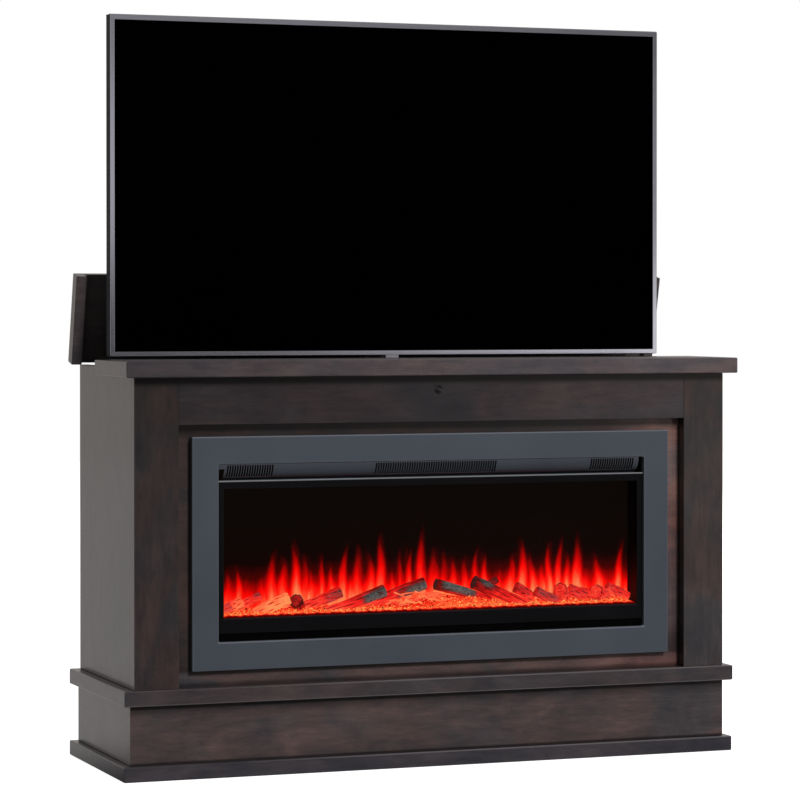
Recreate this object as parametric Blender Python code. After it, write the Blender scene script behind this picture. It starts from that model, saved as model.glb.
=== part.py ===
"""Television lift cabinet with an electric fireplace in its front.

Metres, +Z up, the front faces -Y. The origin is on the floor, at the centre of the object.
Inside this file y is measured from the front plane of the face frame, backwards.
"""
import math

import bmesh
import bpy
from mathutils import Matrix, Vector

# Clearances
GAP = 0.0003            # between faces that touch
TV_SIDE_CLEAR = 0.0071  # television to the inside of each side panel
TV_STANDOFF = 0.0564    # fixed top to the screen's face
TV_RAISED_CLEAR = 0.0045  # fixed top to the raised television
BAY_FLOOR = 0.066       # lowered television above the base slab
BAY_HEAD = 0.0169       # lowered television below the closed lid
COLUMN_RUN = 0.002      # television bracket in front of the outer column
COLUMN_SLIDE = 0.0006   # between two nested columns
CUT_CLEAR = 0.003       # firebox in its cut-out
FIREBOX_AIR = 0.0332    # firebox to the partition
LID_GAP = 0.002         # lid to the fixed top
LIP_CLEAR = 0.0004      # lid lips to the side panels
BORE_CLEAR = 0.0003     # shaft in its hole

# Television
SCREEN_W = 1.2096       # 55 inch class, 16:9
SCREEN_H = 0.6804
SCREEN_T = 0.004
BEZEL_SIDE = 0.0105
BEZEL_TOP = 0.0115
BEZEL_FOOT = 0.0085
BEZEL_LIP = 0.0017
BEZEL_WALL = 0.003
BEZEL_CHAMFER = 0.002
TV_RIM = 0.026
TV_DEPTH = 0.046
TV_BACK_INSET = 0.060
TV_COVER_WALL = 0.0025
POD_W = 0.028
POD_H = 0.012
POD_D = 0.014

# Lift
TV_RAIL_X = 0.200
TV_RAIL_W = 0.030
TV_RAIL_T = 0.008
TV_RAIL_L = 0.400
CROSSBAR_T = 0.004
CROSSBAR_H = 0.150
COLUMN_W = 0.080
COLUMN_D = 0.046
COLUMN_WALL = 0.002
COLUMN_LAP = 0.150      # length that stays nested when the lift is up
STAGE_STEP = 0.012      # each column's top above the next when the lift is down
LIFT_PLATE_T = 0.006
LIFT_PLATE_SIDE = 0.070
LIFT_MOTOR_R = 0.020
LIFT_MOTOR_H = 0.120
LIFT_MOTOR_CAN = 0.096  # height of the motor's wide part
LIFT_MOTOR_SLOPE = 0.006
LIFT_MOTOR_NECK_R = 0.014
CONTROL_BOX = (0.120, 0.024, 0.080)
CONTROL_BOX_END = 0.2524  # control box to the right side panel
CONTROL_BOX_UP = 0.002  # above the plinth
BACK_ROOM = 0.0264      # outer column to the back panel

# Cabinet boards
BOARD_T = 0.018
FACE_T = 0.028
PARTITION_T = 0.012
BACK_T = 0.012
STILE_W = 0.091
RAIL_H = 0.0939
TOP_T = 0.0320
TOP_FRONT_OVER = 0.0258
TOP_SIDE_OVER = 0.0221
TOP_REAR_LAP = 0.0042
BASE_T = 0.0305
BASE_PROUD = 0.0014
PLINTH_H = 0.118
PLINTH_SET = 0.0113
PLINTH_PROUD = 0.0054
PLINTH_REAR_SET = 0.0045
LEDGE_T = 0.0314
LEDGE_PROUD = 0.0041
SKIRT_OVER = 0.021      # base slab and ledge past the side panels
SKIRT_REAR = 0.008
EASE = 0.0012           # rounded board edges
SLAB_EASE = 0.0025      # those of the base slab, the ledge and the fixed top
EASE_STEPS = 2
SHARP_ANGLE = 40.0      # degrees
EASE_LAYER = "bevel_weight_edge"
ROUND_SIDES = 24
SHAFT_SIDES = 16
CABLE_CUT_W = 0.140
CABLE_CUT_H = 0.080
CABLE_CUT_X = -0.300
CABLE_CUT_UP = 0.090
EYE_R = 0.009
EYE_BODY_R = 0.006
EYE_BODY_L = 0.020
EYE_PROUD = 0.004
EYE_DROP = 0.029
EYE_DOME = ((1.0, 0.3), (0.9, 0.6), (0.55, 0.8), (0.4, 1.0))  # shares of its height and radius

# Lid and its piano hinge
LID_PANEL_T = 0.0132
LID_LIP_H = 0.030
LID_REAR_SET = 0.006    # lid's rear edge in front of the hinge axis
PIVOT_INSET = 0.0034    # hinge axis in front of the cabinet's back
HINGE_RAIL_D = 0.030
HINGE_RAIL_H = 0.060
HINGE_R = 0.0034
LEAF_T = 0.0012
LEAF_W = 0.020
LEAF_END = 0.020
KNUCKLES = 9
KNUCKLE_GAP = 0.0008
KNUCKLE_TURN = 270.0    # degrees of roll
KNUCKLE_STEPS = 12

# Fireplace front
TRIM_SIDE_MARGIN = 0.0308
TRIM_FOOT_MARGIN = 0.0315
TRIM_HEAD_MARGIN = 0.0249
TRIM_BORDER = 0.0552
TRIM_SILL = 0.0562
TRIM_PROUD = 0.018
TRIM_EASE = 0.0025
VENT_H = 0.0327
VENT_SET = 0.001
VENT_END = 0.012
VENT_BULGE = 0.034
VENT_T = 0.0015
VENT_TURN = 80.0        # degrees of arc from the head to the foot of the bar
VENT_STEPS = 8
VENT_MID_W = 0.264
VENT_SIDE_W = 0.100
VENT_SIDE_INSET = 0.004
SLOT_PITCH = 0.0052
SLOT_W = 0.0030
SLOT_H = 0.0245
SLOT_DROP = 0.0012
GLASS_SET = 0.0075
GLASS_FRAME_T = 0.008
GLASS_SIDE = 0.0128
GLASS_HEAD = 0.0174
GLASS_LIP = 0.0296
INTAKE_H = 0.0163
INTAKE_SET = 0.005
INTAKE_GROUPS = 7
INTAKE_SPACING = 0.0686
INTAKE_SLOTS = 4
INTAKE_PITCH = 0.0045
INTAKE_W = 0.002
INTAKE_SLOT_H = 0.008
GLASS_T = 0.004
GLASS_LAP = 0.006

# Fireplace inside
SHELL_T = 0.0012
SHELL_SIDE = 0.010
SHELL_DROP = 0.0124
SHELL_RISE = 0.0131
BED_SET = 0.002
BED_DEPTH = 0.080
BED_WALL = 0.003
BED_END = 0.004
DECK_DROP = 0.002       # bed's deck below the top of the glass frame's lip
CRUST_D = 0.012
CRUST_H = 0.004
CRUST_PEAK = 0.0054     # highest line of the crust behind its front
CRUST_STEPS = 72
CRUST_MEAN = 0.5        # share of the crust's height, with waves of (share, step, phase)
CRUST_WAVES = ((0.3, 1.9, 0.0), (0.2, 0.7, 1.0))
LOG_CLEAR = 0.001       # logs to the crust and to the flame screen
FLAME_SCREEN_T = 0.003
ROD_ROOM = 0.050
ROD_R = 0.015
ROD_FIN = 0.006
ROD_UP = 0.045
ROD_JOURNAL_R = 0.0025
ROD_JOURNAL_L = 0.008
ROD_TURNS = 3.0
ROD_FINS = 4
ROD_STEPS = 36
FLAME_MOTOR_L = 0.026
FLAME_MOTOR_S = 0.030
LED_W = 0.020
LED_T = 0.0016
LED_H = 0.003
LED_PITCH = 0.040
LED_END = 0.006         # lights board to the bed's end walls
BLOWER_HALF = 0.150
BLOWER_H = 0.046
BLOWER_FRONT = 0.012    # glass to the blower's mouth
BLOWER_REAR = 0.004     # blower to the back of the bed
BLOWER_WALL = 0.0015
ROTOR_R = 0.016
ROTOR_FIN = 0.003
ROTOR_SET = 0.004
ROTOR_SHAFT_R = 0.003
ROTOR_BLADES = 12
HEATER_T = 0.008
HEATER_FINS = 18
HEATER_FIN_T = 0.008
HEATER_SPINE = 0.012
BOARD_PCB_T = 0.0016
BOARD_PCB_W = 0.120
BOARD_PCB_H = 0.060
BOARD_PCB_END = 0.1122  # control board to the shell's right wall
BOARD_PART_H = 0.012
BOARD_PARTS = ((0.1, 0.35, 1.0), (0.5, 0.8, 0.6))  # start, end and height as shares

# Logs on the ember bed: ends across the view as shares of half its width, heights of the ends
# above the deck in metres, row on the bed (0 front, 1 back), radius in metres
LOGS = (
    (-0.825, 0.000, -0.680, 0.029, 0, 0.0125),
    (-0.590, 0.004, -0.415, 0.037, 1, 0.0105),
    (-0.495, 0.000, -0.215, 0.041, 0, 0.0105),
    (-0.320, 0.002, 0.000, 0.047, 1, 0.0110),
    (0.055, 0.048, 0.400, 0.000, 1, 0.0095),
    (0.225, 0.050, 0.490, 0.001, 0, 0.0120),
    (0.530, 0.030, 0.650, 0.002, 0, 0.0110),
)
LOG_SIDES = 10
LOG_RINGS = 7
LOG_WAIST = 0.92        # shares of the radius: mean girth, its swell, the log's bow
LOG_SWELL = 0.06
LOG_BOW = 0.1
LOG_WAVE = 5.0          # radians of swell along a log
LOG_PHASE = 9.0         # shifts the swell from log to log

# Widths, from the television outwards
tv_half = SCREEN_W / 2 + BEZEL_SIDE
in_half = tv_half + TV_SIDE_CLEAR
body_half = in_half + BOARD_T
top_half = body_half + TOP_SIDE_OVER
skirt_half = body_half + SKIRT_OVER
plinth_half = body_half + PLINTH_PROUD
recess_half = body_half - STILE_W
trim_half = recess_half - TRIM_SIDE_MARGIN
open_half = trim_half - TRIM_BORDER
view_half = open_half - GLASS_SIDE
shell_half = open_half + SHELL_SIDE
hinge_half = in_half - LEAF_END

# Depths, from the face frame backwards
panel_front = FACE_T + GAP
panel_back = panel_front + BOARD_T
trim_front = panel_front - TRIM_PROUD
glass_front = trim_front + GLASS_SET
glass_back = glass_front + GLASS_FRAME_T + GAP + GLASS_T
bed_front = glass_back + BED_SET
bed_back = bed_front + BED_DEPTH
flame_back = bed_back + GAP + FLAME_SCREEN_T
rod_y = flame_back + ROD_ROOM / 2
shell_back = flame_back + ROD_ROOM + SHELL_T
partition_front = shell_back + FIREBOX_AIR
partition_back = partition_front + PARTITION_T
top_back = partition_back + TOP_REAR_LAP
screen_front = top_back + TV_STANDOFF
bezel_front = screen_front - GAP - BEZEL_LIP
bezel_back = bezel_front + TV_RIM
tv_back = bezel_front + TV_DEPTH
rail_back = tv_back + GAP + TV_RAIL_T
crossbar_back = rail_back + GAP + CROSSBAR_T
column_front = crossbar_back + COLUMN_RUN
column_back = column_front + COLUMN_D
column_inset = COLUMN_WALL + COLUMN_SLIDE
back_front = column_back + BACK_ROOM
body_back = back_front + BACK_T
pivot_y = body_back - PIVOT_INSET
lid_front = top_back + LID_GAP
lid_rear = pivot_y - LID_REAR_SET

# Heights, from the floor upwards
plinth_top = BASE_T + PLINTH_H
ledge_top = plinth_top + LEDGE_T
tv_height = BEZEL_FOOT + SCREEN_H + BEZEL_TOP
tv_low = BASE_T + BAY_FLOOR
lid_under = tv_low + tv_height + BAY_HEAD
top_top = lid_under + LID_PANEL_T
body_top = top_top - TOP_T
tv_foot = top_top + TV_RAISED_CLEAR
tv_head = tv_foot + tv_height
tv_middle = tv_foot + tv_height / 2
travel = tv_foot - tv_low
pivot_z = lid_under - GAP - HINGE_R
hinge_rail_top = pivot_z - HINGE_R - GAP
hinge_rail_foot = hinge_rail_top - HINGE_RAIL_H
recess_top = body_top - RAIL_H
trim_foot = ledge_top + TRIM_FOOT_MARGIN
trim_head = recess_top - TRIM_HEAD_MARGIN
open_foot = trim_foot + TRIM_SILL
open_head = trim_head - TRIM_BORDER
frame_head = open_head - VENT_H
view_foot = open_foot + INTAKE_H + GLASS_LIP
view_head = frame_head - GLASS_HEAD
shell_foot = open_foot - SHELL_DROP
shell_head = open_head + SHELL_RISE
floor_z = shell_foot + SHELL_T + GAP
ceiling_z = shell_head - SHELL_T - GAP
deck_z = view_foot - DECK_DROP
rod_z = floor_z + ROD_UP
column_foot = BASE_T + GAP + LIFT_PLATE_T + GAP
column_length = travel / 2 + COLUMN_LAP + STAGE_STEP
inner_back = column_back - 2 * column_inset
inner_head = column_foot + 2 * STAGE_STEP + column_length + travel


def lid_lean():
    """Angle from closed at which the lid's free edge leans on the inner column."""
    edge_y = lid_front - pivot_y
    edge_z = lid_under - pivot_z
    reach = math.hypot(edge_y, edge_z)
    rest_y = inner_back + GAP - pivot_y
    return math.atan2(edge_z, edge_y) - math.acos(rest_y / reach)


lid_angle = lid_lean()
lid_reach = pivot_y - LID_REAR_SET * math.cos(lid_angle) + (top_top - pivot_z) * math.sin(lid_angle)
base_back = body_back + SKIRT_REAR
centre_y = (max(lid_reach, base_back) - TOP_FRONT_OVER) / 2

# Colour, roughness and metallic value of each finish
FINISHES = {
    "stained_wood": ((0.045, 0.034, 0.032), 0.42, 0.0),
    "back_board": ((0.10, 0.085, 0.075), 0.7, 0.0),
    "slate_metal": ((0.054, 0.062, 0.078), 0.5, 0.3),
    "black_metal": ((0.008, 0.008, 0.010), 0.5, 0.3),
    "zinc_steel": ((0.45, 0.45, 0.46), 0.4, 0.9),
    "gunmetal": ((0.10, 0.10, 0.115), 0.38, 0.6),
    "black_plastic": ((0.012, 0.012, 0.013), 0.45, 0.0),
    "screen_glass": ((0.001, 0.001, 0.001), 0.12, 0.0),
    "clear_glass": ((0.85, 0.88, 0.88), 0.05, 0.0),
    "flame_acrylic": ((0.60, 0.06, 0.02), 0.3, 0.0),
    "ember_resin": ((0.85, 0.25, 0.07), 0.5, 0.0),
    "log_resin": ((0.20, 0.09, 0.08), 0.75, 0.0),
    "circuit_board": ((0.02, 0.16, 0.06), 0.5, 0.0),
    "bright_foil": ((0.75, 0.75, 0.76), 0.2, 1.0),
}


def clear_scene():
    for obj in list(bpy.data.objects):
        bpy.data.objects.remove(obj, do_unlink=True)


def empty(name, at, parent=None):
    obj = bpy.data.objects.new(name, None)
    bpy.context.collection.objects.link(obj)
    obj.parent = parent
    obj.location = at
    return obj


def finish_material(name, finish):
    colour, roughness, metallic = FINISHES[finish]
    material = bpy.data.materials.new(name + "_finish")
    material.use_nodes = True
    shader = material.node_tree.nodes["Principled BSDF"]
    shader.inputs["Base Color"].default_value = (*colour, 1.0)
    shader.inputs["Roughness"].default_value = roughness
    shader.inputs["Metallic"].default_value = metallic
    return material


def across(axis, value):
    """Joint plane square to an axis, as its normal and one of its points."""
    normal = Vector([float(axis == other) for other in "XYZ"])
    return normal, normal * value


def weigh_edges(bm, at, joints):
    """Give the edges that a bevel rounds a weight of 1, and those on a joint's plane 0."""
    weight = bm.edges.layers.float.new(EASE_LAYER)
    for edge in bm.edges:
        edge[weight] = 1.0
        for normal, point in joints:
            if all(abs((at + vert.co - point).dot(normal)) < GAP / 2 for vert in edge.verts):
                edge[weight] = 0.0


def solid(name, bm, finish, parent, at=(0, 0, 0), ease=0.0, smooth=False, joints=()):
    """Turn a closed bmesh into a named object; ease rounds its edges, but not those at joints."""
    bmesh.ops.recalc_face_normals(bm, faces=bm.faces)
    if joints:
        weigh_edges(bm, Vector(at), joints)
    mesh = bpy.data.meshes.new(name)
    bm.to_mesh(mesh)
    bm.free()
    mesh.materials.append(finish_material(name, finish))
    if smooth:
        mesh.shade_smooth()
        mesh.set_sharp_from_angle(angle=math.radians(SHARP_ANGLE))
    obj = bpy.data.objects.new(name, mesh)
    bpy.context.collection.objects.link(obj)
    obj.parent = parent
    obj.location = at
    if ease:
        bevel = obj.modifiers.new("ease", "BEVEL")
        bevel.width = ease
        bevel.segments = EASE_STEPS
        bevel.limit_method = "WEIGHT" if EASE_LAYER in mesh.attributes else "ANGLE"
        bevel.angle_limit = math.radians(SHARP_ANGLE)
    return obj


def board(name, x, y, z, finish, parent, ease=0.0, joints=()):
    """Rectangular block between the given limits, with its origin at its centre."""
    bm = bmesh.new()
    bmesh.ops.create_cube(bm, size=1.0)
    size = Vector((x[1] - x[0], y[1] - y[0], z[1] - z[0]))
    bmesh.ops.transform(bm, matrix=Matrix.Diagonal(size).to_4x4(), verts=bm.verts)
    at = ((x[0] + x[1]) / 2, (y[0] + y[1]) / 2, (z[0] + z[1]) / 2)
    return solid(name, bm, finish, parent, at, ease, joints=joints)


def prism(name, outline, along, span, finish, parent, ease=0.0, joints=()):
    """Flat outline in the plane across the given axis, extruded over span."""
    def point(a, b, s):
        return {"X": (s, a, b), "Y": (a, s, b), "Z": (a, b, s)}[along]
    bm = bmesh.new()
    face = bm.faces.new([bm.verts.new(point(a, b, span[0])) for a, b in outline])
    grown = bmesh.ops.extrude_face_region(bm, geom=[face])
    moved = [item for item in grown["geom"] if isinstance(item, bmesh.types.BMVert)]
    bmesh.ops.translate(bm, vec=Vector(point(0, 0, span[1] - span[0])), verts=moved)
    return solid(name, bm, finish, parent, ease=ease, joints=joints)


def loft_mesh(rings, closed):
    """Skin through rings of equal count; a closed loft joins the last ring to the first."""
    bm = bmesh.new()
    loops = [[bm.verts.new(p) for p in ring] for ring in rings]
    pairs = list(zip(loops, loops[1:]))
    if closed:
        pairs.append((loops[-1], loops[0]))
    for low, high in pairs:
        for i in range(len(low)):
            j = (i + 1) % len(low)
            bm.faces.new((low[i], low[j], high[j], high[i]))
    if not closed:
        bm.faces.new(loops[0])
        bm.faces.new(loops[-1])
    return bm


def loft(name, rings, finish, parent, closed=False, ease=0.0, smooth=False, at=(0, 0, 0)):
    return solid(name, loft_mesh(rings, closed), finish, parent, at, ease, smooth)


def rect_xz(x, z, y):
    return [(x[0], y, z[0]), (x[1], y, z[0]), (x[1], y, z[1]), (x[0], y, z[1])]


def rect_xy(x, y, z):
    return [(x[0], y[0], z), (x[1], y[0], z), (x[1], y[1], z), (x[0], y[1], z)]


def ring_frame(name, outer, inner, y, finish, parent, ease=0.0):
    """Flat rectangular frame; outer and inner are (x limits, z limits)."""
    rings = [rect_xz(*outer, y[0]), rect_xz(*outer, y[1]), rect_xz(*inner, y[1]), rect_xz(*inner, y[0])]
    return loft(name, rings, finish, parent, closed=True, ease=ease)


def turned(name, along, profile, sides, finish, parent, at):
    """Round solid about an axis through at; profile lists (position, radius)."""
    rings = []
    for position, radius in profile:
        ring = []
        for i in range(sides):
            a = 2 * math.pi * i / sides
            u, v = radius * math.cos(a), radius * math.sin(a)
            ring.append({"X": (position, u, v), "Y": (u, position, v), "Z": (u, v, position)}[along])
        rings.append(ring)
    return loft(name, rings, finish, parent, smooth=True, at=at)


def combine(obj, other, operation):
    """Boolean with a second object that stays hidden."""
    other.hide_render = True
    other.display_type = "WIRE"
    boolean = obj.modifiers.new(operation.lower(), "BOOLEAN")
    boolean.object = other
    boolean.operation = operation
    boolean.solver = "EXACT"


def blocks_mesh(blocks):
    """Several separate blocks, each given by its x, y and z limits, in one mesh."""
    bm = bmesh.new()
    for x, y, z in blocks:
        size = Vector((x[1] - x[0], y[1] - y[0], z[1] - z[0]))
        at = Vector((x[0] + x[1], y[0] + y[1], z[0] + z[1])) / 2
        bmesh.ops.create_cube(bm, size=1.0, matrix=Matrix.Translation(at) @ Matrix.Diagonal(size).to_4x4())
    return bm


def mirrored(limits):
    return (-limits[1], -limits[0])


def build_base(root):
    """Base slab, plinth box and the mitred ledge on top of it."""
    wood = "stained_wood"
    slab_x, slab_y = (-skirt_half, skirt_half), (-BASE_PROUD, base_back)
    board("base_slab", slab_x, slab_y, (0, BASE_T), wood, root, SLAB_EASE)
    z = (BASE_T + GAP, plinth_top - GAP)
    rear = body_back - PLINTH_REAR_SET
    side_x = (plinth_half - BOARD_T, plinth_half)
    front_y = (PLINTH_SET, PLINTH_SET + BOARD_T)
    side_y = (front_y[1] + GAP, rear)
    front_joint, side_joint = [across("Y", front_y[1])], [across("Y", side_y[0])]
    board("plinth_front", (-plinth_half, plinth_half), front_y, z, wood, root, EASE, front_joint)
    board("plinth_left", mirrored(side_x), side_y, z, wood, root, EASE, side_joint)
    board("plinth_right", side_x, side_y, z, wood, root, EASE, side_joint)
    back_half = side_x[0] - GAP
    board("plinth_back", (-back_half, back_half), (rear - BOARD_T, rear), z, wood, root, EASE)
    build_ledge(root, (plinth_top, ledge_top))


def build_ledge(root, z):
    width = skirt_half - in_half
    front = -LEDGE_PROUD
    inner = skirt_half - width
    mitre = GAP * math.sqrt(2)
    outline = [(-skirt_half, front), (skirt_half, front), (inner, front + width), (-inner, front + width)]
    to_right, to_left = Vector((1, 1, 0)).normalized(), Vector((-1, 1, 0)).normalized()
    ends = [(to_right, Vector((skirt_half, front, 0))), (to_left, Vector((-skirt_half, front, 0)))]
    prism("ledge_front", outline, "Z", z, "stained_wood", root, SLAB_EASE, ends)
    right = [(skirt_half, front + mitre), (skirt_half, base_back), (inner, base_back),
             (inner, front + width + mitre)]
    right_joint = [(to_right, Vector((*right[0], 0)))]
    prism("ledge_right", right, "Z", z, "stained_wood", root, SLAB_EASE, right_joint)
    left = [(-x, y) for x, y in right]
    left_joint = [(to_left, Vector((*left[0], 0)))]
    prism("ledge_left", left, "Z", z, "stained_wood", root, SLAB_EASE, left_joint)


def build_body(root):
    """Side panels, face frame, recessed panel, shelf, partition, back and fixed top."""
    wood = "stained_wood"
    foot, head = ledge_top + GAP, body_top - GAP
    rear_head = lid_under - GAP
    outline = [(panel_front, foot), (body_back, foot), (body_back, rear_head), (top_back + GAP, rear_head),
               (top_back + GAP, head), (panel_front, head)]
    panel_joint, stile_back = [across("Y", panel_front)], across("Y", FACE_T)
    prism("side_panel_left", outline, "X", (-body_half, -in_half), wood, root, EASE, panel_joint)
    prism("side_panel_right", outline, "X", (in_half, body_half), wood, root, EASE, panel_joint)
    stile_x, stile_z = (recess_half, body_half), (foot, head)
    left_joints = [across("X", -recess_half), stile_back]
    right_joints = [across("X", recess_half), stile_back]
    board("face_stile_left", mirrored(stile_x), (0, FACE_T), stile_z, wood, root, EASE, left_joints)
    board("face_stile_right", stile_x, (0, FACE_T), stile_z, wood, root, EASE, right_joints)
    rail_x = (GAP - recess_half, recess_half - GAP)
    rail_z = (recess_top, head)
    rail_joints = [across("X", end) for end in rail_x]
    rail = board("face_rail_top", rail_x, (0, FACE_T), rail_z, wood, root, EASE, rail_joints)
    build_eye(root, rail)
    clear = in_half - GAP
    cut_half = shell_half + CUT_CLEAR
    cut = ((-cut_half, cut_half), (shell_foot - CUT_CLEAR, shell_head + CUT_CLEAR))
    ring_frame("surround_panel", ((-clear, clear), (foot, head)), cut, (panel_front, panel_back), wood, root)
    shelf_z = (shell_foot - GAP - BOARD_T, shell_foot - GAP)
    board("firebox_shelf", (-clear, clear), (panel_back + GAP, partition_front - GAP), shelf_z, wood, root)
    board("partition_panel", (-clear, clear), (partition_front, partition_back), (BASE_T + GAP, head),
          "back_board", root)
    cut_foot = ledge_top + CABLE_CUT_UP
    hole_x = (CABLE_CUT_X - CABLE_CUT_W / 2, CABLE_CUT_X + CABLE_CUT_W / 2)
    hole = (hole_x, (cut_foot, cut_foot + CABLE_CUT_H))
    back = ((-clear, clear), (plinth_top, hinge_rail_foot - GAP))
    ring_frame("back_panel", back, hole, (back_front, body_back), "back_board", root)
    top_y = (-TOP_FRONT_OVER, top_back)
    board("fixed_top", (-top_half, top_half), top_y, (body_top, top_top), wood, root, SLAB_EASE)
    board("hinge_rail", (-clear, clear), (body_back - HINGE_RAIL_D, body_back),
          (hinge_rail_foot, hinge_rail_top), wood, root)


def build_eye(root, rail):
    """Infrared eye: a domed lens whose barrel goes through the top rail."""
    at = (0, 0, body_top - EYE_DROP)
    profile = [(-EYE_PROUD * height, EYE_R * radius) for height, radius in EYE_DOME]
    profile += [(-GAP, EYE_R), (-GAP, EYE_BODY_R), (EYE_BODY_L, EYE_BODY_R)]
    turned("ir_eye", "Y", profile, ROUND_SIDES, "black_plastic", root, at)
    bore = [(-FACE_T, EYE_BODY_R + BORE_CLEAR), (2 * FACE_T, EYE_BODY_R + BORE_CLEAR)]
    combine(rail, turned("eye_bore", "Y", bore, ROUND_SIDES, "black_plastic", root, at), "DIFFERENCE")


def build_fire_front(root):
    """Slate trim frame, vent bar, black glass frame and the glass."""
    outer = ((-trim_half, trim_half), (trim_foot, trim_head))
    opening = ((-open_half, open_half), (open_foot, open_head))
    ring_frame("trim_frame", outer, opening, (trim_front, FACE_T), "slate_metal", root, TRIM_EASE)
    build_vent_bar(root)
    clear = open_half - GAP
    frame_outer = ((-clear, clear), (open_foot + GAP, frame_head))
    view = ((-view_half, view_half), (view_foot, view_head))
    frame_y = (glass_front, glass_front + GLASS_FRAME_T)
    frame = ring_frame("glass_frame", frame_outer, view, frame_y, "black_metal", root, TRIM_EASE)
    groove_y = (glass_front - INTAKE_SET, glass_front + INTAKE_SET)
    groove_z = (open_foot - INTAKE_H, open_foot + INTAKE_H)
    groove = board("intake_groove", (-open_half, open_half), groove_y, groove_z, "black_metal", root)
    combine(frame, groove, "DIFFERENCE")
    slots = solid("intake_slots", blocks_mesh(intake_slots(frame_y)), "black_metal", root)
    combine(frame, slots, "DIFFERENCE")
    lap = GLASS_LAP
    glass_y = (frame_y[1] + GAP, glass_back)
    board("front_glass", (-view_half - lap, view_half + lap), glass_y, (view_foot - lap, view_head + lap),
          "clear_glass", root)


def intake_slots(frame_y):
    """Small slots in groups along the foot of the glass frame."""
    z = (open_foot + (INTAKE_H - INTAKE_SLOT_H) / 2, open_foot + (INTAKE_H + INTAKE_SLOT_H) / 2)
    blocks = []
    for group in range(INTAKE_GROUPS):
        centre = (group - (INTAKE_GROUPS - 1) / 2) * INTAKE_SPACING
        for slot in range(INTAKE_SLOTS):
            x = centre + (slot - (INTAKE_SLOTS - 1) / 2) * INTAKE_PITCH
            blocks.append(((x - INTAKE_W / 2, x + INTAKE_W / 2), (frame_y[0], frame_y[1] + INTAKE_SET), z))
    return blocks


def build_vent_bar(root):
    """Curved sheet across the head of the opening, with three rows of upright slots."""
    height = VENT_H - 2 * GAP
    front = trim_front + VENT_SET
    outer, inner = [], []
    for i in range(VENT_STEPS + 1):
        a = math.radians(VENT_TURN) * i / VENT_STEPS
        for arc, inset in ((outer, 0.0), (inner, VENT_T)):
            depth = inset + (VENT_BULGE - inset) * (1 - math.cos(a))
            arc.append((front + depth, open_head - GAP - (height - inset) * math.sin(a)))
    outline = outer + inner[::-1]
    half = open_half - VENT_END
    bar = prism("vent_bar", outline, "X", (-half, half), "slate_metal", root)
    side = (half - VENT_SIDE_INSET - VENT_SIDE_W, half - VENT_SIDE_INSET)
    z = (open_head - SLOT_DROP - SLOT_H, open_head - SLOT_DROP)
    y = (front - VENT_T, front + VENT_BULGE + VENT_T)
    blocks = []
    for low, high in ((-VENT_MID_W / 2, VENT_MID_W / 2), side, mirrored(side)):
        count = round((high - low) / SLOT_PITCH)
        for i in range(count):
            x = (low + high) / 2 + (i - (count - 1) / 2) * SLOT_PITCH
            blocks.append(((x - SLOT_W / 2, x + SLOT_W / 2), y, z))
    combine(bar, solid("vent_slots", blocks_mesh(blocks), "slate_metal", root), "DIFFERENCE")


def build_firebox(root):
    """Sheet metal shell, flame screen, ember bed, logs and lights."""
    y = (panel_front, shell_back)
    x = (-shell_half, shell_half)
    board("shell_bottom", x, y, (shell_foot, shell_foot + SHELL_T), "black_metal", root)
    board("shell_top", x, y, (shell_head - SHELL_T, shell_head), "black_metal", root)
    inner = shell_half - SHELL_T
    outline = [(-shell_half, y[0]), (-inner, y[0]), (-inner, y[1] - SHELL_T), (inner, y[1] - SHELL_T),
               (inner, y[0]), (shell_half, y[0]), (shell_half, y[1]), (-shell_half, y[1])]
    wrap = prism("shell_wrap", outline, "Z", (floor_z, ceiling_z), "black_metal", root)
    clear = inner - GAP
    board("flame_screen", (-clear, clear), (bed_back + GAP, flame_back), (floor_z, ceiling_z),
          "flame_acrylic", root)
    build_bed(root, inner - BED_END)
    for index, log in enumerate(LOGS):
        build_log("log_%d" % (index + 1), log, root)
    build_flame_drive(root, wrap, inner)
    build_blower(root)
    build_control_board(root, inner - BOARD_PCB_END, y[1] - SHELL_T - GAP)


def build_control_board(root, right, back):
    """Board on the shell's back wall, with two blocks for its parts."""
    left = right - BOARD_PCB_W
    outline = [(left, back), (left, back - BOARD_PCB_T)]
    for start, end, height in BOARD_PARTS:
        part_x = (left + start * BOARD_PCB_W, left + end * BOARD_PCB_W)
        tip = back - height * BOARD_PART_H
        outline += [(part_x[0], back - BOARD_PCB_T), (part_x[0], tip), (part_x[1], tip),
                    (part_x[1], back - BOARD_PCB_T)]
    outline += [(right, back - BOARD_PCB_T), (right, back)]
    prism("control_board", outline, "Z", (ceiling_z - BOARD_PCB_H, ceiling_z), "circuit_board", root)


def build_bed(root, half):
    """Inverted trough: a flat deck for the logs behind a crust of embers along the front."""
    wall = BED_WALL
    rings = []
    for i in range(CRUST_STEPS + 1):
        x = -half + 2 * half * i / CRUST_STEPS
        waves = sum(share * math.sin(step * i + phase) for share, step, phase in CRUST_WAVES)
        bump = CRUST_H * (CRUST_MEAN + waves)
        yz = [(bed_front, floor_z), (bed_front, deck_z), (bed_front + CRUST_PEAK, deck_z + bump),
              (bed_front + CRUST_D, deck_z), (bed_back, deck_z), (bed_back, floor_z),
              (bed_back - wall, floor_z), (bed_back - wall, deck_z - wall), (bed_front + wall, deck_z - wall),
              (bed_front + wall, floor_z)]
        rings.append([(x, y, z) for y, z in yz])
    loft("ember_bed", rings, "ember_resin", root)
    build_lights(root, half - LED_END)


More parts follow.
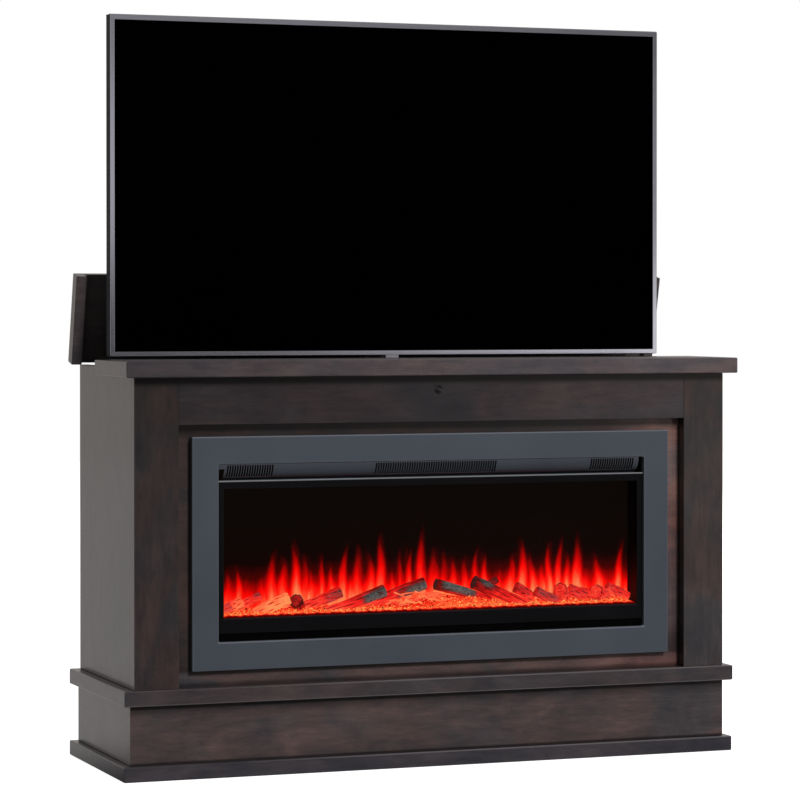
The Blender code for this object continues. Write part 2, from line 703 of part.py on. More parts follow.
def build_lights(root, half):
    """Strip under the deck with a row of square lamps."""
    foot, head = floor_z + LED_T, floor_z + LED_T + LED_H
    count = int(2 * half / LED_PITCH)
    outline = [(-half, floor_z), (-half, foot)]
    for i in range(count):
        x = (i - (count - 1) / 2) * LED_PITCH
        outline += [(x - LED_H, foot), (x - LED_H, head), (x + LED_H, head), (x + LED_H, foot)]
    outline += [(half, foot), (half, floor_z)]
    middle = (bed_front + bed_back) / 2
    prism("led_board", outline, "Y", (middle - LED_W / 2, middle + LED_W / 2), "circuit_board", root)


def build_log(name, log, root):
    """Tapered, slightly crooked log whose underside is cut flat where it lies on the deck."""
    share_a, up_a, share_b, up_b, row, radius = log
    row_y = (bed_front + CRUST_D + LOG_CLEAR + radius, bed_back - LOG_CLEAR - radius)[row]
    a = Vector((share_a * view_half, row_y, deck_z + up_a))
    b = Vector((share_b * view_half, row_y, deck_z + up_b))
    along = (b - a).normalized()
    across = Vector((0, 1, 0))
    up = along.cross(across)
    rings = []
    for i in range(LOG_RINGS):
        t = i / (LOG_RINGS - 1)
        swell = radius * (LOG_WAIST + LOG_SWELL * math.sin(LOG_WAVE * t + LOG_PHASE * share_a))
        centre = a.lerp(b, t) + up * (LOG_BOW * radius * math.sin(math.pi * t))
        ring = []
        for k in range(LOG_SIDES):
            angle = 2 * math.pi * k / LOG_SIDES
            ring.append(centre + swell * (math.cos(angle) * across + math.sin(angle) * up))
        rings.append(ring)
    bm = loft_mesh(rings, False)
    cut = bmesh.ops.bisect_plane(bm, geom=bm.verts[:] + bm.edges[:] + bm.faces[:], dist=1e-6,
                                 plane_co=(0, 0, deck_z + GAP), plane_no=(0, 0, 1), clear_inner=True)
    rim = [item for item in cut["geom_cut"] if isinstance(item, bmesh.types.BMEdge)]
    bmesh.ops.edgenet_fill(bm, edges=rim)
    solid(name, bm, "log_resin", root, smooth=True)


def build_flame_drive(root, wrap, inner):
    """Motor on the left wall and the twisted reflector rod that it turns, borne in the right wall."""
    motor_x = (-inner + GAP, -inner + GAP + FLAME_MOTOR_L)
    half = FLAME_MOTOR_S / 2
    motor = board("flame_motor", motor_x, (rod_y - half, rod_y + half), (rod_z - half, rod_z + half),
                  "black_plastic", root)
    rod_x = (motor_x[1] + GAP, inner - GAP)
    ends = (rod_x[0] - ROD_JOURNAL_L, rod_x[1] + GAP + SHELL_T + GAP)
    bore_r = ROD_JOURNAL_R + BORE_CLEAR
    bore = [(ends[0] - GAP, bore_r), (rod_x[0] + GAP, bore_r)]
    pivot = (0, rod_y, rod_z)
    combine(motor, turned("motor_bore", "X", bore, SHAFT_SIDES, "black_plastic", root, pivot), "DIFFERENCE")
    bearing = [(inner - 2 * SHELL_T, bore_r), (inner + 2 * SHELL_T, bore_r)]
    hole = turned("rod_bearing_hole", "X", bearing, SHAFT_SIDES, "black_metal", root, pivot)
    combine(wrap, hole, "DIFFERENCE")
    axis = empty("flame_rod_axis", pivot, root)
    journal = [ROD_JOURNAL_R] * (2 * ROD_FINS)
    fins = [ROD_R, ROD_FIN] * ROD_FINS
    rings = [star_ring(ends[0], journal, 0), star_ring(rod_x[0], journal, 0)]
    for i in range(ROD_STEPS + 1):
        t = i / ROD_STEPS
        x = rod_x[0] + t * (rod_x[1] - rod_x[0])
        rings.append(star_ring(x, fins, 2 * math.pi * ROD_TURNS * t))
    last = 2 * math.pi * ROD_TURNS
    rings += [star_ring(rod_x[1], journal, last), star_ring(ends[1], journal, last)]
    loft("flame_rod", rings, "bright_foil", axis)


def star_ring(x, radii, turn):
    points = []
    for i, radius in enumerate(radii):
        a = turn + 2 * math.pi * i / len(radii)
        points.append((x, radius * math.cos(a), radius * math.sin(a)))
    return points


def build_blower(root):
    """Trough under the shell's top with the heater in its mouth and the fan rotor in its cheeks."""
    y = (glass_back + BLOWER_FRONT, bed_back - BLOWER_REAR)
    z = (ceiling_z - BLOWER_H, ceiling_z)
    wall = BLOWER_WALL
    housing = board("blower_housing", (-BLOWER_HALF, BLOWER_HALF), y, z, "zinc_steel", root)
    cheek = BLOWER_HALF - wall
    mouth = board("blower_mouth", (-cheek, cheek), (y[0] - wall, y[1] - wall), (z[0] + wall, z[1] - wall),
                  "zinc_steel", root)
    combine(housing, mouth, "DIFFERENCE")
    pivot = (0, y[1] - wall - ROTOR_SET - ROTOR_R, (z[0] + z[1]) / 2)
    hole_r = ROTOR_SHAFT_R + BORE_CLEAR
    hole = [(-BLOWER_HALF - wall, hole_r), (BLOWER_HALF + wall, hole_r)]
    bearing = turned("rotor_bearing_hole", "X", hole, SHAFT_SIDES, "zinc_steel", root, pivot)
    combine(housing, bearing, "DIFFERENCE")
    axis = empty("fan_axis", pivot, root)
    shaft = [ROTOR_SHAFT_R] * (2 * ROTOR_BLADES)
    blades = [ROTOR_R, ROTOR_R - ROTOR_FIN] * ROTOR_BLADES
    drum = cheek - ROTOR_SET
    left_end = [(-BLOWER_HALF, shaft), (-drum, shaft), (-drum, blades)]
    right_end = [(-x, radii) for x, radii in reversed(left_end)]
    rings = [star_ring(x, radii, 0) for x, radii in left_end + right_end]
    loft("fan_rotor", rings, "black_metal", axis)
    build_heater(root, y[0] + GAP, cheek - GAP, (z[0] + wall + GAP, z[1] - wall - GAP))


def build_heater(root, front, half, z):
    """Finned block: a spine along its foot with a row of upright fins."""
    pitch = 2 * half / HEATER_FINS
    spine = z[0] + HEATER_SPINE
    outline = [(-half, z[0]), (half, z[0])]
    for i in reversed(range(HEATER_FINS)):
        right = -half + (i + 1) * pitch
        fin = right - HEATER_FIN_T
        outline += [(right, z[1]), (fin, z[1]), (fin, spine), (right - pitch, spine)]
    prism("heater_element", outline, "Y", (front, front + HEATER_T), "zinc_steel", root)


def build_lift(root):
    """Fixed outer column with its plate, motor and control box, and the two moving columns."""
    middle_y = (column_front + column_back) / 2
    plate_half = COLUMN_W / 2 + LIFT_PLATE_SIDE
    board("lift_base_plate", (-plate_half, plate_half), (column_front, column_back),
          (BASE_T + GAP, BASE_T + GAP + LIFT_PLATE_T), "zinc_steel", root)
    motor_x = -(COLUMN_W / 2 + GAP + LIFT_MOTOR_R)
    profile = [(0, LIFT_MOTOR_R), (LIFT_MOTOR_CAN, LIFT_MOTOR_R),
               (LIFT_MOTOR_CAN + LIFT_MOTOR_SLOPE, LIFT_MOTOR_NECK_R), (LIFT_MOTOR_H, LIFT_MOTOR_NECK_R)]
    turned("lift_motor", "Z", profile, ROUND_SIDES, "black_plastic", root, (motor_x, middle_y, column_foot))
    width, depth, height = CONTROL_BOX
    box_y = (back_front - GAP - depth, back_front - GAP)
    box_foot = plinth_top + CONTROL_BOX_UP
    box_right = in_half - CONTROL_BOX_END
    board("lift_control_box", (box_right - width, box_right), box_y, (box_foot, box_foot + height),
          "black_plastic", root, EASE)
    carriage = empty("tv_carriage", (0, 0, 0), root)
    middle = empty("lift_middle", (0, 0, 0), root)
    build_column("lift_outer_column", 0, root)
    build_column("lift_middle_column", 1, middle)
    build_column("lift_inner_column", 2, carriage)
    return carriage


def build_column(name, stage, parent):
    """Square tube; each stage nests in the one before and rises by half the travel."""
    inset = stage * column_inset
    x = (-COLUMN_W / 2 + inset, COLUMN_W / 2 - inset)
    y = (column_front + inset, column_back - inset)
    foot = column_foot + stage * (STAGE_STEP + travel / 2)
    head = foot + column_length
    wall = COLUMN_WALL
    bore_x = (x[0] + wall, x[1] - wall)
    bore_y = (y[0] + wall, y[1] - wall)
    rings = [rect_xy(x, y, foot), rect_xy(x, y, head), rect_xy(bore_x, bore_y, head),
             rect_xy(bore_x, bore_y, foot)]
    loft(name, rings, "zinc_steel", parent, closed=True)


def tv_rect(inset, y):
    return rect_xz((-tv_half + inset, tv_half - inset), (tv_foot + inset, tv_head - inset), y)


def build_television(carriage):
    """Bracket, rails and the television that the inner column carries."""
    tab_x = COLUMN_W / 2 - 2 * column_inset
    bar_half = TV_RAIL_X + TV_RAIL_W / 2
    bar_front = rail_back + GAP
    tab_z = (inner_head + GAP, inner_head + GAP + CROSSBAR_T)
    bar_z = (tab_z[1] - CROSSBAR_H, tab_z[1])
    bar_y = (bar_front, crossbar_back)
    bar = board("tv_crossbar", (-bar_half, bar_half), bar_y, bar_z, "black_metal", carriage)
    tab_y = ((bar_front + crossbar_back) / 2, inner_back - COLUMN_WALL)
    tab = board("crossbar_tab", (-tab_x, tab_x), tab_y, tab_z, "black_metal", carriage)
    combine(bar, tab, "UNION")
    rail_x = (TV_RAIL_X - TV_RAIL_W / 2, TV_RAIL_X + TV_RAIL_W / 2)
    rail_z = (tv_middle - TV_RAIL_L / 2, tv_middle + TV_RAIL_L / 2)
    for name, x in (("tv_rail_left", mirrored(rail_x)), ("tv_rail_right", rail_x)):
        board(name, x, (tv_back + GAP, rail_back), rail_z, "black_metal", carriage)
    active = ((-SCREEN_W / 2, SCREEN_W / 2), (tv_foot + BEZEL_FOOT, tv_head - BEZEL_TOP))
    lip_back = bezel_front + BEZEL_LIP
    rings = [tv_rect(0, bezel_back), tv_rect(0, bezel_front + BEZEL_CHAMFER),
             tv_rect(BEZEL_CHAMFER, bezel_front), rect_xz(*active, bezel_front), rect_xz(*active, lip_back),
             tv_rect(BEZEL_WALL, lip_back), tv_rect(BEZEL_WALL, bezel_back)]
    bezel = loft("tv_bezel", rings, "gunmetal", carriage, closed=True)
    pod_y = bezel_front + BEZEL_CHAMFER
    pod_z = (tv_foot - POD_H, tv_foot + BEZEL_WALL / 2)
    pod = board("bezel_pod", (-POD_W / 2, POD_W / 2), (pod_y, pod_y + POD_D), pod_z, "gunmetal", carriage)
    combine(bezel, pod, "UNION")
    lap_x = (BEZEL_SIDE - BEZEL_WALL) / 2
    lap_foot = (BEZEL_FOOT - BEZEL_WALL) / 2
    lap_head = (BEZEL_TOP - BEZEL_WALL) / 2
    board("tv_screen", (-SCREEN_W / 2 - lap_x, SCREEN_W / 2 + lap_x), (screen_front, screen_front + SCREEN_T),
          (active[1][0] - lap_foot, active[1][1] + lap_head), "screen_glass", carriage)
    wall = TV_COVER_WALL
    pan = [tv_rect(TV_BACK_INSET + wall, tv_back - wall), tv_rect(wall, bezel_back + GAP),
           tv_rect(0, bezel_back + GAP), tv_rect(TV_BACK_INSET, tv_back)]
    loft("tv_back_cover", pan, "black_plastic", carriage)


def leaf_outline(side):
    """Rolled knuckle with its tail, about the hinge axis; side is 1 above the axis, -1 below."""
    tail = -2 * HINGE_R
    inner = HINGE_R - LEAF_T
    angles = [math.radians(90 - KNUCKLE_TURN * i / KNUCKLE_STEPS) for i in range(KNUCKLE_STEPS + 1)]
    outer_arc = [(HINGE_R * math.cos(a), HINGE_R * math.sin(a)) for a in angles]
    inner_arc = [(inner * math.cos(a), inner * math.sin(a)) for a in reversed(angles)]
    points = [(tail, HINGE_R)] + outer_arc + inner_arc + [(tail, inner)]
    return [(y, side * z) for y, z in points]


def build_leaf(name, side, first, parent):
    """Strip along the hinge with every second knuckle, starting at knuckle number first."""
    z = sorted((side * (HINGE_R - LEAF_T), side * HINGE_R))
    strip_y = (-LEAF_W, -HINGE_R - KNUCKLE_GAP)
    leaf = board(name, (-hinge_half, hinge_half), strip_y, z, "zinc_steel", parent)
    length = 2 * hinge_half / KNUCKLES
    for number in range(first, KNUCKLES, 2):
        start = -hinge_half + number * length
        span = (start + KNUCKLE_GAP, start + length - KNUCKLE_GAP)
        knuckle = prism("%s_knuckle_%d" % (name, number), leaf_outline(side), "X", span, "zinc_steel", parent)
        combine(leaf, knuckle, "UNION")


def build_lid(root):
    """Lid with hanging end lips, turned open about the hinge until it leans on the inner column."""
    fixed = empty("hinge_axis", (0, pivot_y, pivot_z), root)
    swing = empty("lid_pivot", (0, pivot_y, pivot_z), root)
    swing.rotation_euler.x = -lid_angle
    under = lid_under - pivot_z
    head = top_top - pivot_z
    lip_x = body_half + LIP_CLEAR
    lip_z = head - LID_LIP_H
    outline = [(-top_half, lip_z), (-lip_x, lip_z), (-lip_x, under), (lip_x, under), (lip_x, lip_z),
               (top_half, lip_z), (top_half, head), (-top_half, head)]
    prism("lid_panel", outline, "Y", (lid_front - pivot_y, lid_rear - pivot_y), "stained_wood", swing, EASE)
    build_leaf("hinge_lid_leaf", 1, 1, swing)
    build_leaf("hinge_frame_leaf", -1, 0, fixed)
    pin_r = HINGE_R - LEAF_T - BORE_CLEAR
    pin = [(-hinge_half, pin_r), (hinge_half, pin_r)]
    turned("hinge_pin", "X", pin, SHAFT_SIDES, "zinc_steel", fixed, (0, 0, 0))


def main():
    clear_scene()
    root = empty("cabinet", (0, -centre_y, 0))
    build_base(root)
    build_body(root)
    build_fire_front(root)
    build_firebox(root)
    carriage = build_lift(root)
    build_television(carriage)
    build_lid(root)


main()
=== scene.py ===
import math
from functools import partial, reduce

import bmesh
import bpy
import numpy as np
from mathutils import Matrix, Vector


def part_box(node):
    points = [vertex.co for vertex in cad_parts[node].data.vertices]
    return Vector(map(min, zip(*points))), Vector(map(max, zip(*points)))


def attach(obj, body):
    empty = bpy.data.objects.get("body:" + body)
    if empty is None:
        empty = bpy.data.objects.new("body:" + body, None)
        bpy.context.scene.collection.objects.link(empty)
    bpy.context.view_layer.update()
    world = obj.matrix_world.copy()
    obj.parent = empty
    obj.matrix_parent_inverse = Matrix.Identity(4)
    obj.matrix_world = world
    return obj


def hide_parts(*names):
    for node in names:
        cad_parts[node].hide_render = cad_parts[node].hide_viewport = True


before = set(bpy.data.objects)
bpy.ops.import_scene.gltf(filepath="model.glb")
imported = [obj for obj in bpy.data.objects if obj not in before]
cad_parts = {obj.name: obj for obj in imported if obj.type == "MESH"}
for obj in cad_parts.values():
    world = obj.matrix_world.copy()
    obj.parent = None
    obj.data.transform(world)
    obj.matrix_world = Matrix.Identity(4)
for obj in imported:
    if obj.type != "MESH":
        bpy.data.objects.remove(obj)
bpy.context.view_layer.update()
scene = bpy.context.scene
rng = np.random.default_rng(11)
print("frame loaded with", len(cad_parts), "solids")


# Nodes

white = (1.0, 1.0, 1.0, 1.0)


def addNode(tree, kind, sockets=None, **settings):
    node = tree.nodes.new("ShaderNode" + kind)
    for key, value in settings.items():
        setattr(node, key, value)
    for key, value in (sockets or {}).items():
        if isinstance(value, bpy.types.NodeSocket):
            tree.links.new(value, node.inputs[key])
        else:
            node.inputs[key].default_value = value
    return node


def joinNode(kind, sockets, **settings):
    # outputs of a node in the tree of whatever feeds it
    tree = next(value.id_data for value in sockets.values() if isinstance(value, bpy.types.NodeSocket))
    return addNode(tree, kind, sockets, **settings).outputs


def addMath(operation, a, b):
    return joinNode("Math", {0: a, 1: b}, operation=operation)[0]


plus, minus, times = (partial(addMath, operation) for operation in ("ADD", "SUBTRACT", "MULTIPLY"))
larger, smaller = partial(addMath, "MAXIMUM"), partial(addMath, "MINIMUM")


def addShares(values, shares):
    # each value times its share, added up
    return reduce(plus, [times(*pair) for pair in zip(values, shares)])


def scaleEach(a, b):
    # vectors or colours multiplied part by part
    return joinNode("VectorMath", {0: a, 1: b}, operation="MULTIPLY")[0]


def splitAxes(vector):
    return joinNode("SeparateXYZ", {0: vector})


def addRange(value, low, high, toLow=0, toHigh=1.0):
    sockets = {0: value, 1: low, 2: high, 3: toLow, 4: toHigh}
    return joinNode("MapRange", sockets, interpolation_type="SMOOTHSTEP")[0]


def mixColours(factor, a, b):
    return joinNode("Mix", {0: factor, 6: a, 7: b}, data_type="RGBA")[2]


def mixValues(factor, a, b):
    return joinNode("Mix", {0: factor, 2: a, 3: b}, data_type="FLOAT")[0]


def addRamp(factor, stops):
    node = addNode(factor.id_data, "ValToRGB", {0: factor})
    elements = node.color_ramp.elements
    while len(elements) < len(stops):
        elements.new(1.0)
    for element, (position, colour) in zip(elements, stops):
        element.position = position
        element.color = (*colour, 1.0)
    return node.outputs[0]


def addNoise(vector, scale, detail=2.0, roughness=.5, distortion=0):
    # noise with its own scale along each axis
    sockets = {"Vector": scaleEach(vector, scale), "Scale": 1.0, "Detail": detail,
               "Roughness": roughness, "Distortion": distortion}
    return joinNode("TexNoise", sockets)[0]


def addBump(height, strength, distance):
    sockets = {"Height": height, "Strength": strength, "Distance": distance}
    return joinNode("Bump", sockets)[0]


def readValue(tree, name):
    return addNode(tree, "Attribute", attribute_name=name).outputs["Fac"]


def objectPlace(tree):
    return addNode(tree, "TexCoord").outputs["Object"]


def turnedPlace(tree, along, shift=(0, 0, 0)):
    # object coordinates turned so that the pattern's X runs along the given axis
    sockets = {"Vector": objectPlace(tree), "Location": shift, "Rotation": grainTurn[along]}
    return joinNode("Mapping", sockets)[0]


def newGroup(name, given, made):
    # sockets are plain values, apart from vectors and the colour
    group = bpy.data.node_groups.new(name, "ShaderNodeTree")
    kinds = {"Vector": "Vector", "Normal": "Vector", "Tint": "Vector", "Color": "Color"}
    for side, labels in (("INPUT", given), ("OUTPUT", made)):
        for label in labels:
            kind = "NodeSocket" + kinds.get(label, "Float")
            group.interface.new_socket(label, in_out=side, socket_type=kind)
    return group, group.nodes.new("NodeGroupInput").outputs, group.nodes.new("NodeGroupOutput").inputs


def useGroup(group, **sockets):
    return joinNode("Group", sockets, node_tree=group)


def newMaterial(name, **constants):
    material = bpy.data.materials.new(name)
    material.use_nodes = True
    inputs = material.node_tree.nodes["Principled BSDF"].inputs
    for key, value in constants.items():
        inputs[key.replace("_", " ")].default_value = value
    return material, material.node_tree, inputs


def feed(inputs, **sockets):
    for key, value in sockets.items():
        value.id_data.links.new(value, inputs[key.replace("_", " ")])


# Shared effects: ranges of the masks, and noises as scale, detail, roughness and distortion

grainTurn = {"x": (0, 0, 0), "y": (0, 0, math.radians(-90)), "z": (0, math.radians(90), 0)}
# ranges of the masks that place painted highlights on eased edges and level tops
easing = dict(rounded=(.01, .12), upward=(.2, .6, .25, 1), under=(-.05, -.35), level=(.9, .99))
stainForm = dict(
    cloud=((9, 15, 15), 4, .6, .6), streak=((12, 95, 95), 4, .62, .3), fibre=((60, 900, 900), 2, .6),
    patch=((4.5, 7.5, 7.5), 3, .55, .9), pore=((160, 1500, 1500), 1),
    cool=[(.3, (.012, .0115, .0135)), (.45, (.0195, .0178, .0195)),
          (.57, (.0285, .024, .0248)), (.74, (.044, .035, .0345))],
    warm=[(.3, (.016, .012, .012)), (.45, (.028, .0192, .0185)),
          (.57, (.042, .0265, .024)), (.74, (.066, .039, .034))],
    poreTone=(.009, .008, .009, 1), edgeHighlightTone=(.2, .172, .176, 1), edgeShare=.85,
    body=(.48, .3, .22), reddish=(.36, .64), pores=(.62, .72, 0, .35), rough=(.33, .16), relief=(.55, .45))
brushForm = dict(fine=((9, 2600, 2600), 2, .6), wide=((4, 420, 420),), drift=((3, 9, 9),), line=(.6, .4))
speckleDrift = ((5, 5, 5), 3, .5, .4)


def makeEasedEdge():
    # masks that place painted highlights: a board's rounded edges, as one minus the largest part of the
    # surface's own normal, weaker where the edge doesn't face up; the edges facing down; and the level top
    group, given, made = newGroup("easedEdge", ["Normal"], ["Mask", "Under", "Level"])
    size = joinNode("VectorMath", {0: given["Normal"]}, operation="ABSOLUTE")[0]
    x, y, z = splitAxes(size)
    largest = larger(larger(x, y), z)
    rounded = addRange(minus(1, largest), *easing["rounded"])
    upward = splitAxes(given["Normal"])[2]
    feed(made, Mask=times(rounded, addRange(upward, *easing["upward"])),
         Under=times(rounded, addRange(upward, *easing["under"])),
         Level=addRange(upward, *easing["level"]))
    return group


def makeStainGrain():
    # dark stain over maple, grain along X: mottled clouds, streaks and fine fibres, reddish patches, painted
    # edge highlight
    group, given, made = newGroup("stainGrain", ["Vector", "Tint", "Warmth", "Edge"],
                                  ["Color", "Roughness", "Height"])
    layers = ("cloud", "streak", "fibre", "patch", "pore")
    cloud, streak, fibre, patch, pore = (addNoise(given["Vector"], *stainForm[layer]) for layer in layers)
    body = addShares((cloud, streak, fibre), stainForm["body"])
    cool, warm = (addRamp(body, stainForm[tone]) for tone in ("cool", "warm"))
    warmShare = times(addRange(patch, *stainForm["reddish"]), given["Warmth"])
    colour = mixColours(warmShare, cool, warm)
    colour = mixColours(addRange(pore, *stainForm["pores"]), colour, stainForm["poreTone"])
    colour = scaleEach(colour, given["Tint"])
    # paler tone where the Edge input is high: a painted highlight
    colour = mixColours(times(given["Edge"], stainForm["edgeShare"]), colour, stainForm["edgeHighlightTone"])
    least, more = stainForm["rough"]
    feed(made, Color=colour, Roughness=plus(least, times(streak, more)),
         Height=addShares((fibre, streak), stainForm["relief"]))
    return group


def makeSpeckle():
    # fine grain of sprayed paint or moulded plastic, with a slow drift of tone over it
    group, given, made = newGroup("speckle", ["Vector", "Grain"], ["Grain", "Drift"])
    sockets = {"Vector": given["Vector"], "Scale": given["Grain"], "Detail": 2.0, "Roughness": .6}
    feed(made, Grain=joinNode("TexNoise", sockets)[0],
         Drift=addNoise(given["Vector"], *speckleDrift))
    return group


def makeBrush():
    # brush lines along X in two widths, with a slow drift of tone
    group, given, made = newGroup("brushLines", ["Vector"], ["Line", "Drift"])
    layers = ("fine", "wide", "drift")
    fine, wide, drift = (addNoise(given["Vector"], *brushForm[layer]) for layer in layers)
    feed(made, Line=addShares((fine, wide), brushForm["line"]), Drift=drift)
    return group


easedEdge = makeEasedEdge()
stainGrain = makeStainGrain()
speckle = makeSpeckle()
brushLines = makeBrush()
print("shared effects made")


# Finishes

varnish = dict(Coat_Weight=.5, Coat_Roughness=.15, Specular_IOR_Level=.12)
woodRelief = dict(strength=.16, distance=.0003)
# roughness added where the level top carries its painted reflection
crestDull = .45
toneStops = (.3, .7)
spraying = dict(shares=(.65, .35), span=(.2, .8), relief=.0002)
brushing = dict(shares=(.6, .4), span=(.25, .75), relief=.0001)


def stainedWood(name, board):
    # stained board: eased edges made paler as a painted highlight, which can fade to the left, tone changing
    # between two places along a direction, mostly as painted light and shade, and a painted reflection on
    # the level top towards the front
    material, tree, inputs = newMaterial(name, **varnish)
    coords = addNode(tree, "TexCoord").outputs
    x, y = splitAxes(coords["Object"])[:2]
    eased = useGroup(easedEdge, Normal=coords["Normal"])
    # painted highlight on the eased edges
    edge = times(eased["Mask"], board.get("edge", 1))
    # painted reflection: the level top turns paler towards the front
    if "crest" in board:
        crest = times(eased["Level"], addRange(y, *board["crest"]))
        edge = larger(edge, crest)
    if "fade" in board:
        # the painted edge highlight grows weaker towards the left
        edge = times(edge, addRange(x, *board["fade"], 1))
    # painted highlight on the eased edges that face down
    if "under" in board:
        edge = plus(edge, times(eased["Under"], board["under"]))
    tint = [board["tone"] * part for part in board.get("tint", (1, 1, 1))]
    # rows of tone change between two places along a direction, mostly painted light and shade
    for along, first, last, most in board.get("gain", ()):
        reach = joinNode("VectorMath", {0: coords["Object"], 1: along}, operation="DOT_PRODUCT")
        share = addRange(reach["Value"], first, last)
        tint = scaleEach(tint, mixColours(share, white, (*np.broadcast_to(most, 3), 1)))
    grain = useGroup(stainGrain, Vector=turnedPlace(tree, board["grain"], board["shift"]), Tint=tint,
                     Warmth=board["warmth"], Edge=edge)
    rough = grain["Roughness"]
    # where the top carries the painted reflection it is also duller and loses its coat
    if "crest" in board:
        rough = plus(rough, times(crest, crestDull))
        feed(inputs, Coat_Weight=addRange(crest, 0, 1, varnish["Coat_Weight"], 0))
    feed(inputs, Base_Color=grain["Color"], Roughness=rough,
         Normal=addBump(grain["Height"], **woodRelief))
    return material


def twoTones(finish, *values, shares):
    # ramp from the dark to the light tone over values added by their shares
    tones = finish["dark"], finish["light"]
    return addRamp(addShares(values, shares), list(zip(toneStops, tones)))


def sprayedMetal(name, finish):
    # painted sheet: two close tones drifting, fine grain in roughness and relief, paler eased edges as a
    # painted highlight, and painted shade that darkens a groove between two heights nearly to black
    material, tree, inputs = newMaterial(name, Specular_IOR_Level=finish["shine"])
    coords = addNode(tree, "TexCoord").outputs
    grain = useGroup(speckle, Vector=coords["Object"], Grain=finish["grain"])
    colour = twoTones(finish, grain["Drift"], grain["Grain"], shares=spraying["shares"])
    # painted highlight on the eased edges, strongest where they face up
    edge = useGroup(easedEdge, Normal=coords["Normal"])["Mask"]
    colour = mixColours(times(edge, finish["edgeShare"]), colour, (*finish["edge"], 1))
    # painted shade inside the groove
    if "groove" in finish:
        foot, head, fade = finish["groove"]
        height = splitAxes(coords["Object"])[2]
        inside = times(addRange(height, foot, foot + fade), addRange(height, head - fade, head, 1, 0))
        colour = mixColours(inside, colour, finish["grooveShade"])
    feed(inputs, Base_Color=colour,
         Roughness=addRange(grain["Grain"], *spraying["span"], *finish["rough"]),
         Normal=addBump(grain["Grain"], finish["bump"], spraying["relief"]))
    return material


def brushedMetal(name, finish, along):
    # brushed or drawn metal; its lines follow an axis or the piece's own UV map
    material, tree, inputs = newMaterial(name, Metallic=1.0)
    if along in grainTurn:
        vector = turnedPlace(tree, along)
    else:
        vector = addNode(tree, "UVMap", uv_map=along).outputs[0]
    brush = useGroup(brushLines, Vector=vector)
    feed(inputs, Base_Color=twoTones(finish, brush["Line"], brush["Drift"], shares=brushing["shares"]),
         Roughness=addRange(brush["Line"], *brushing["span"], *finish["rough"]),
         Normal=addBump(brush["Line"], finish["bump"], brushing["relief"]))
    return material


def smearedPlastic(name, smear, tones, rough, **constants):
    # plain clear or dark stuff whose tone and polish follow a faint smear
    material, tree, inputs = newMaterial(name, **constants)
    noise = addNoise(objectPlace(tree), *smear)
    feed(inputs, Base_Color=addRamp(noise, tones), Roughness=addRange(noise, *rough))
    return material


# Boards: grain axis, shift of the pattern, tone, warmth; rows of tone change, mostly painted light and
# shade, are direction, first, last, most

def stain(grain, shift, tone, warmth, **more):
    return dict(grain=grain, shift=shift, tone=tone, warmth=warmth, **more)


toRight, toTop, toUpperRight, toLowerRight = (1, 0, 0), (0, 0, 1), (1, 0, .8), (1, 0, -2)
# painted shadow of the overhanging top on the heads of the rail and stiles
paintedShadowUnderTop = (toTop, .772, .7885, .04)
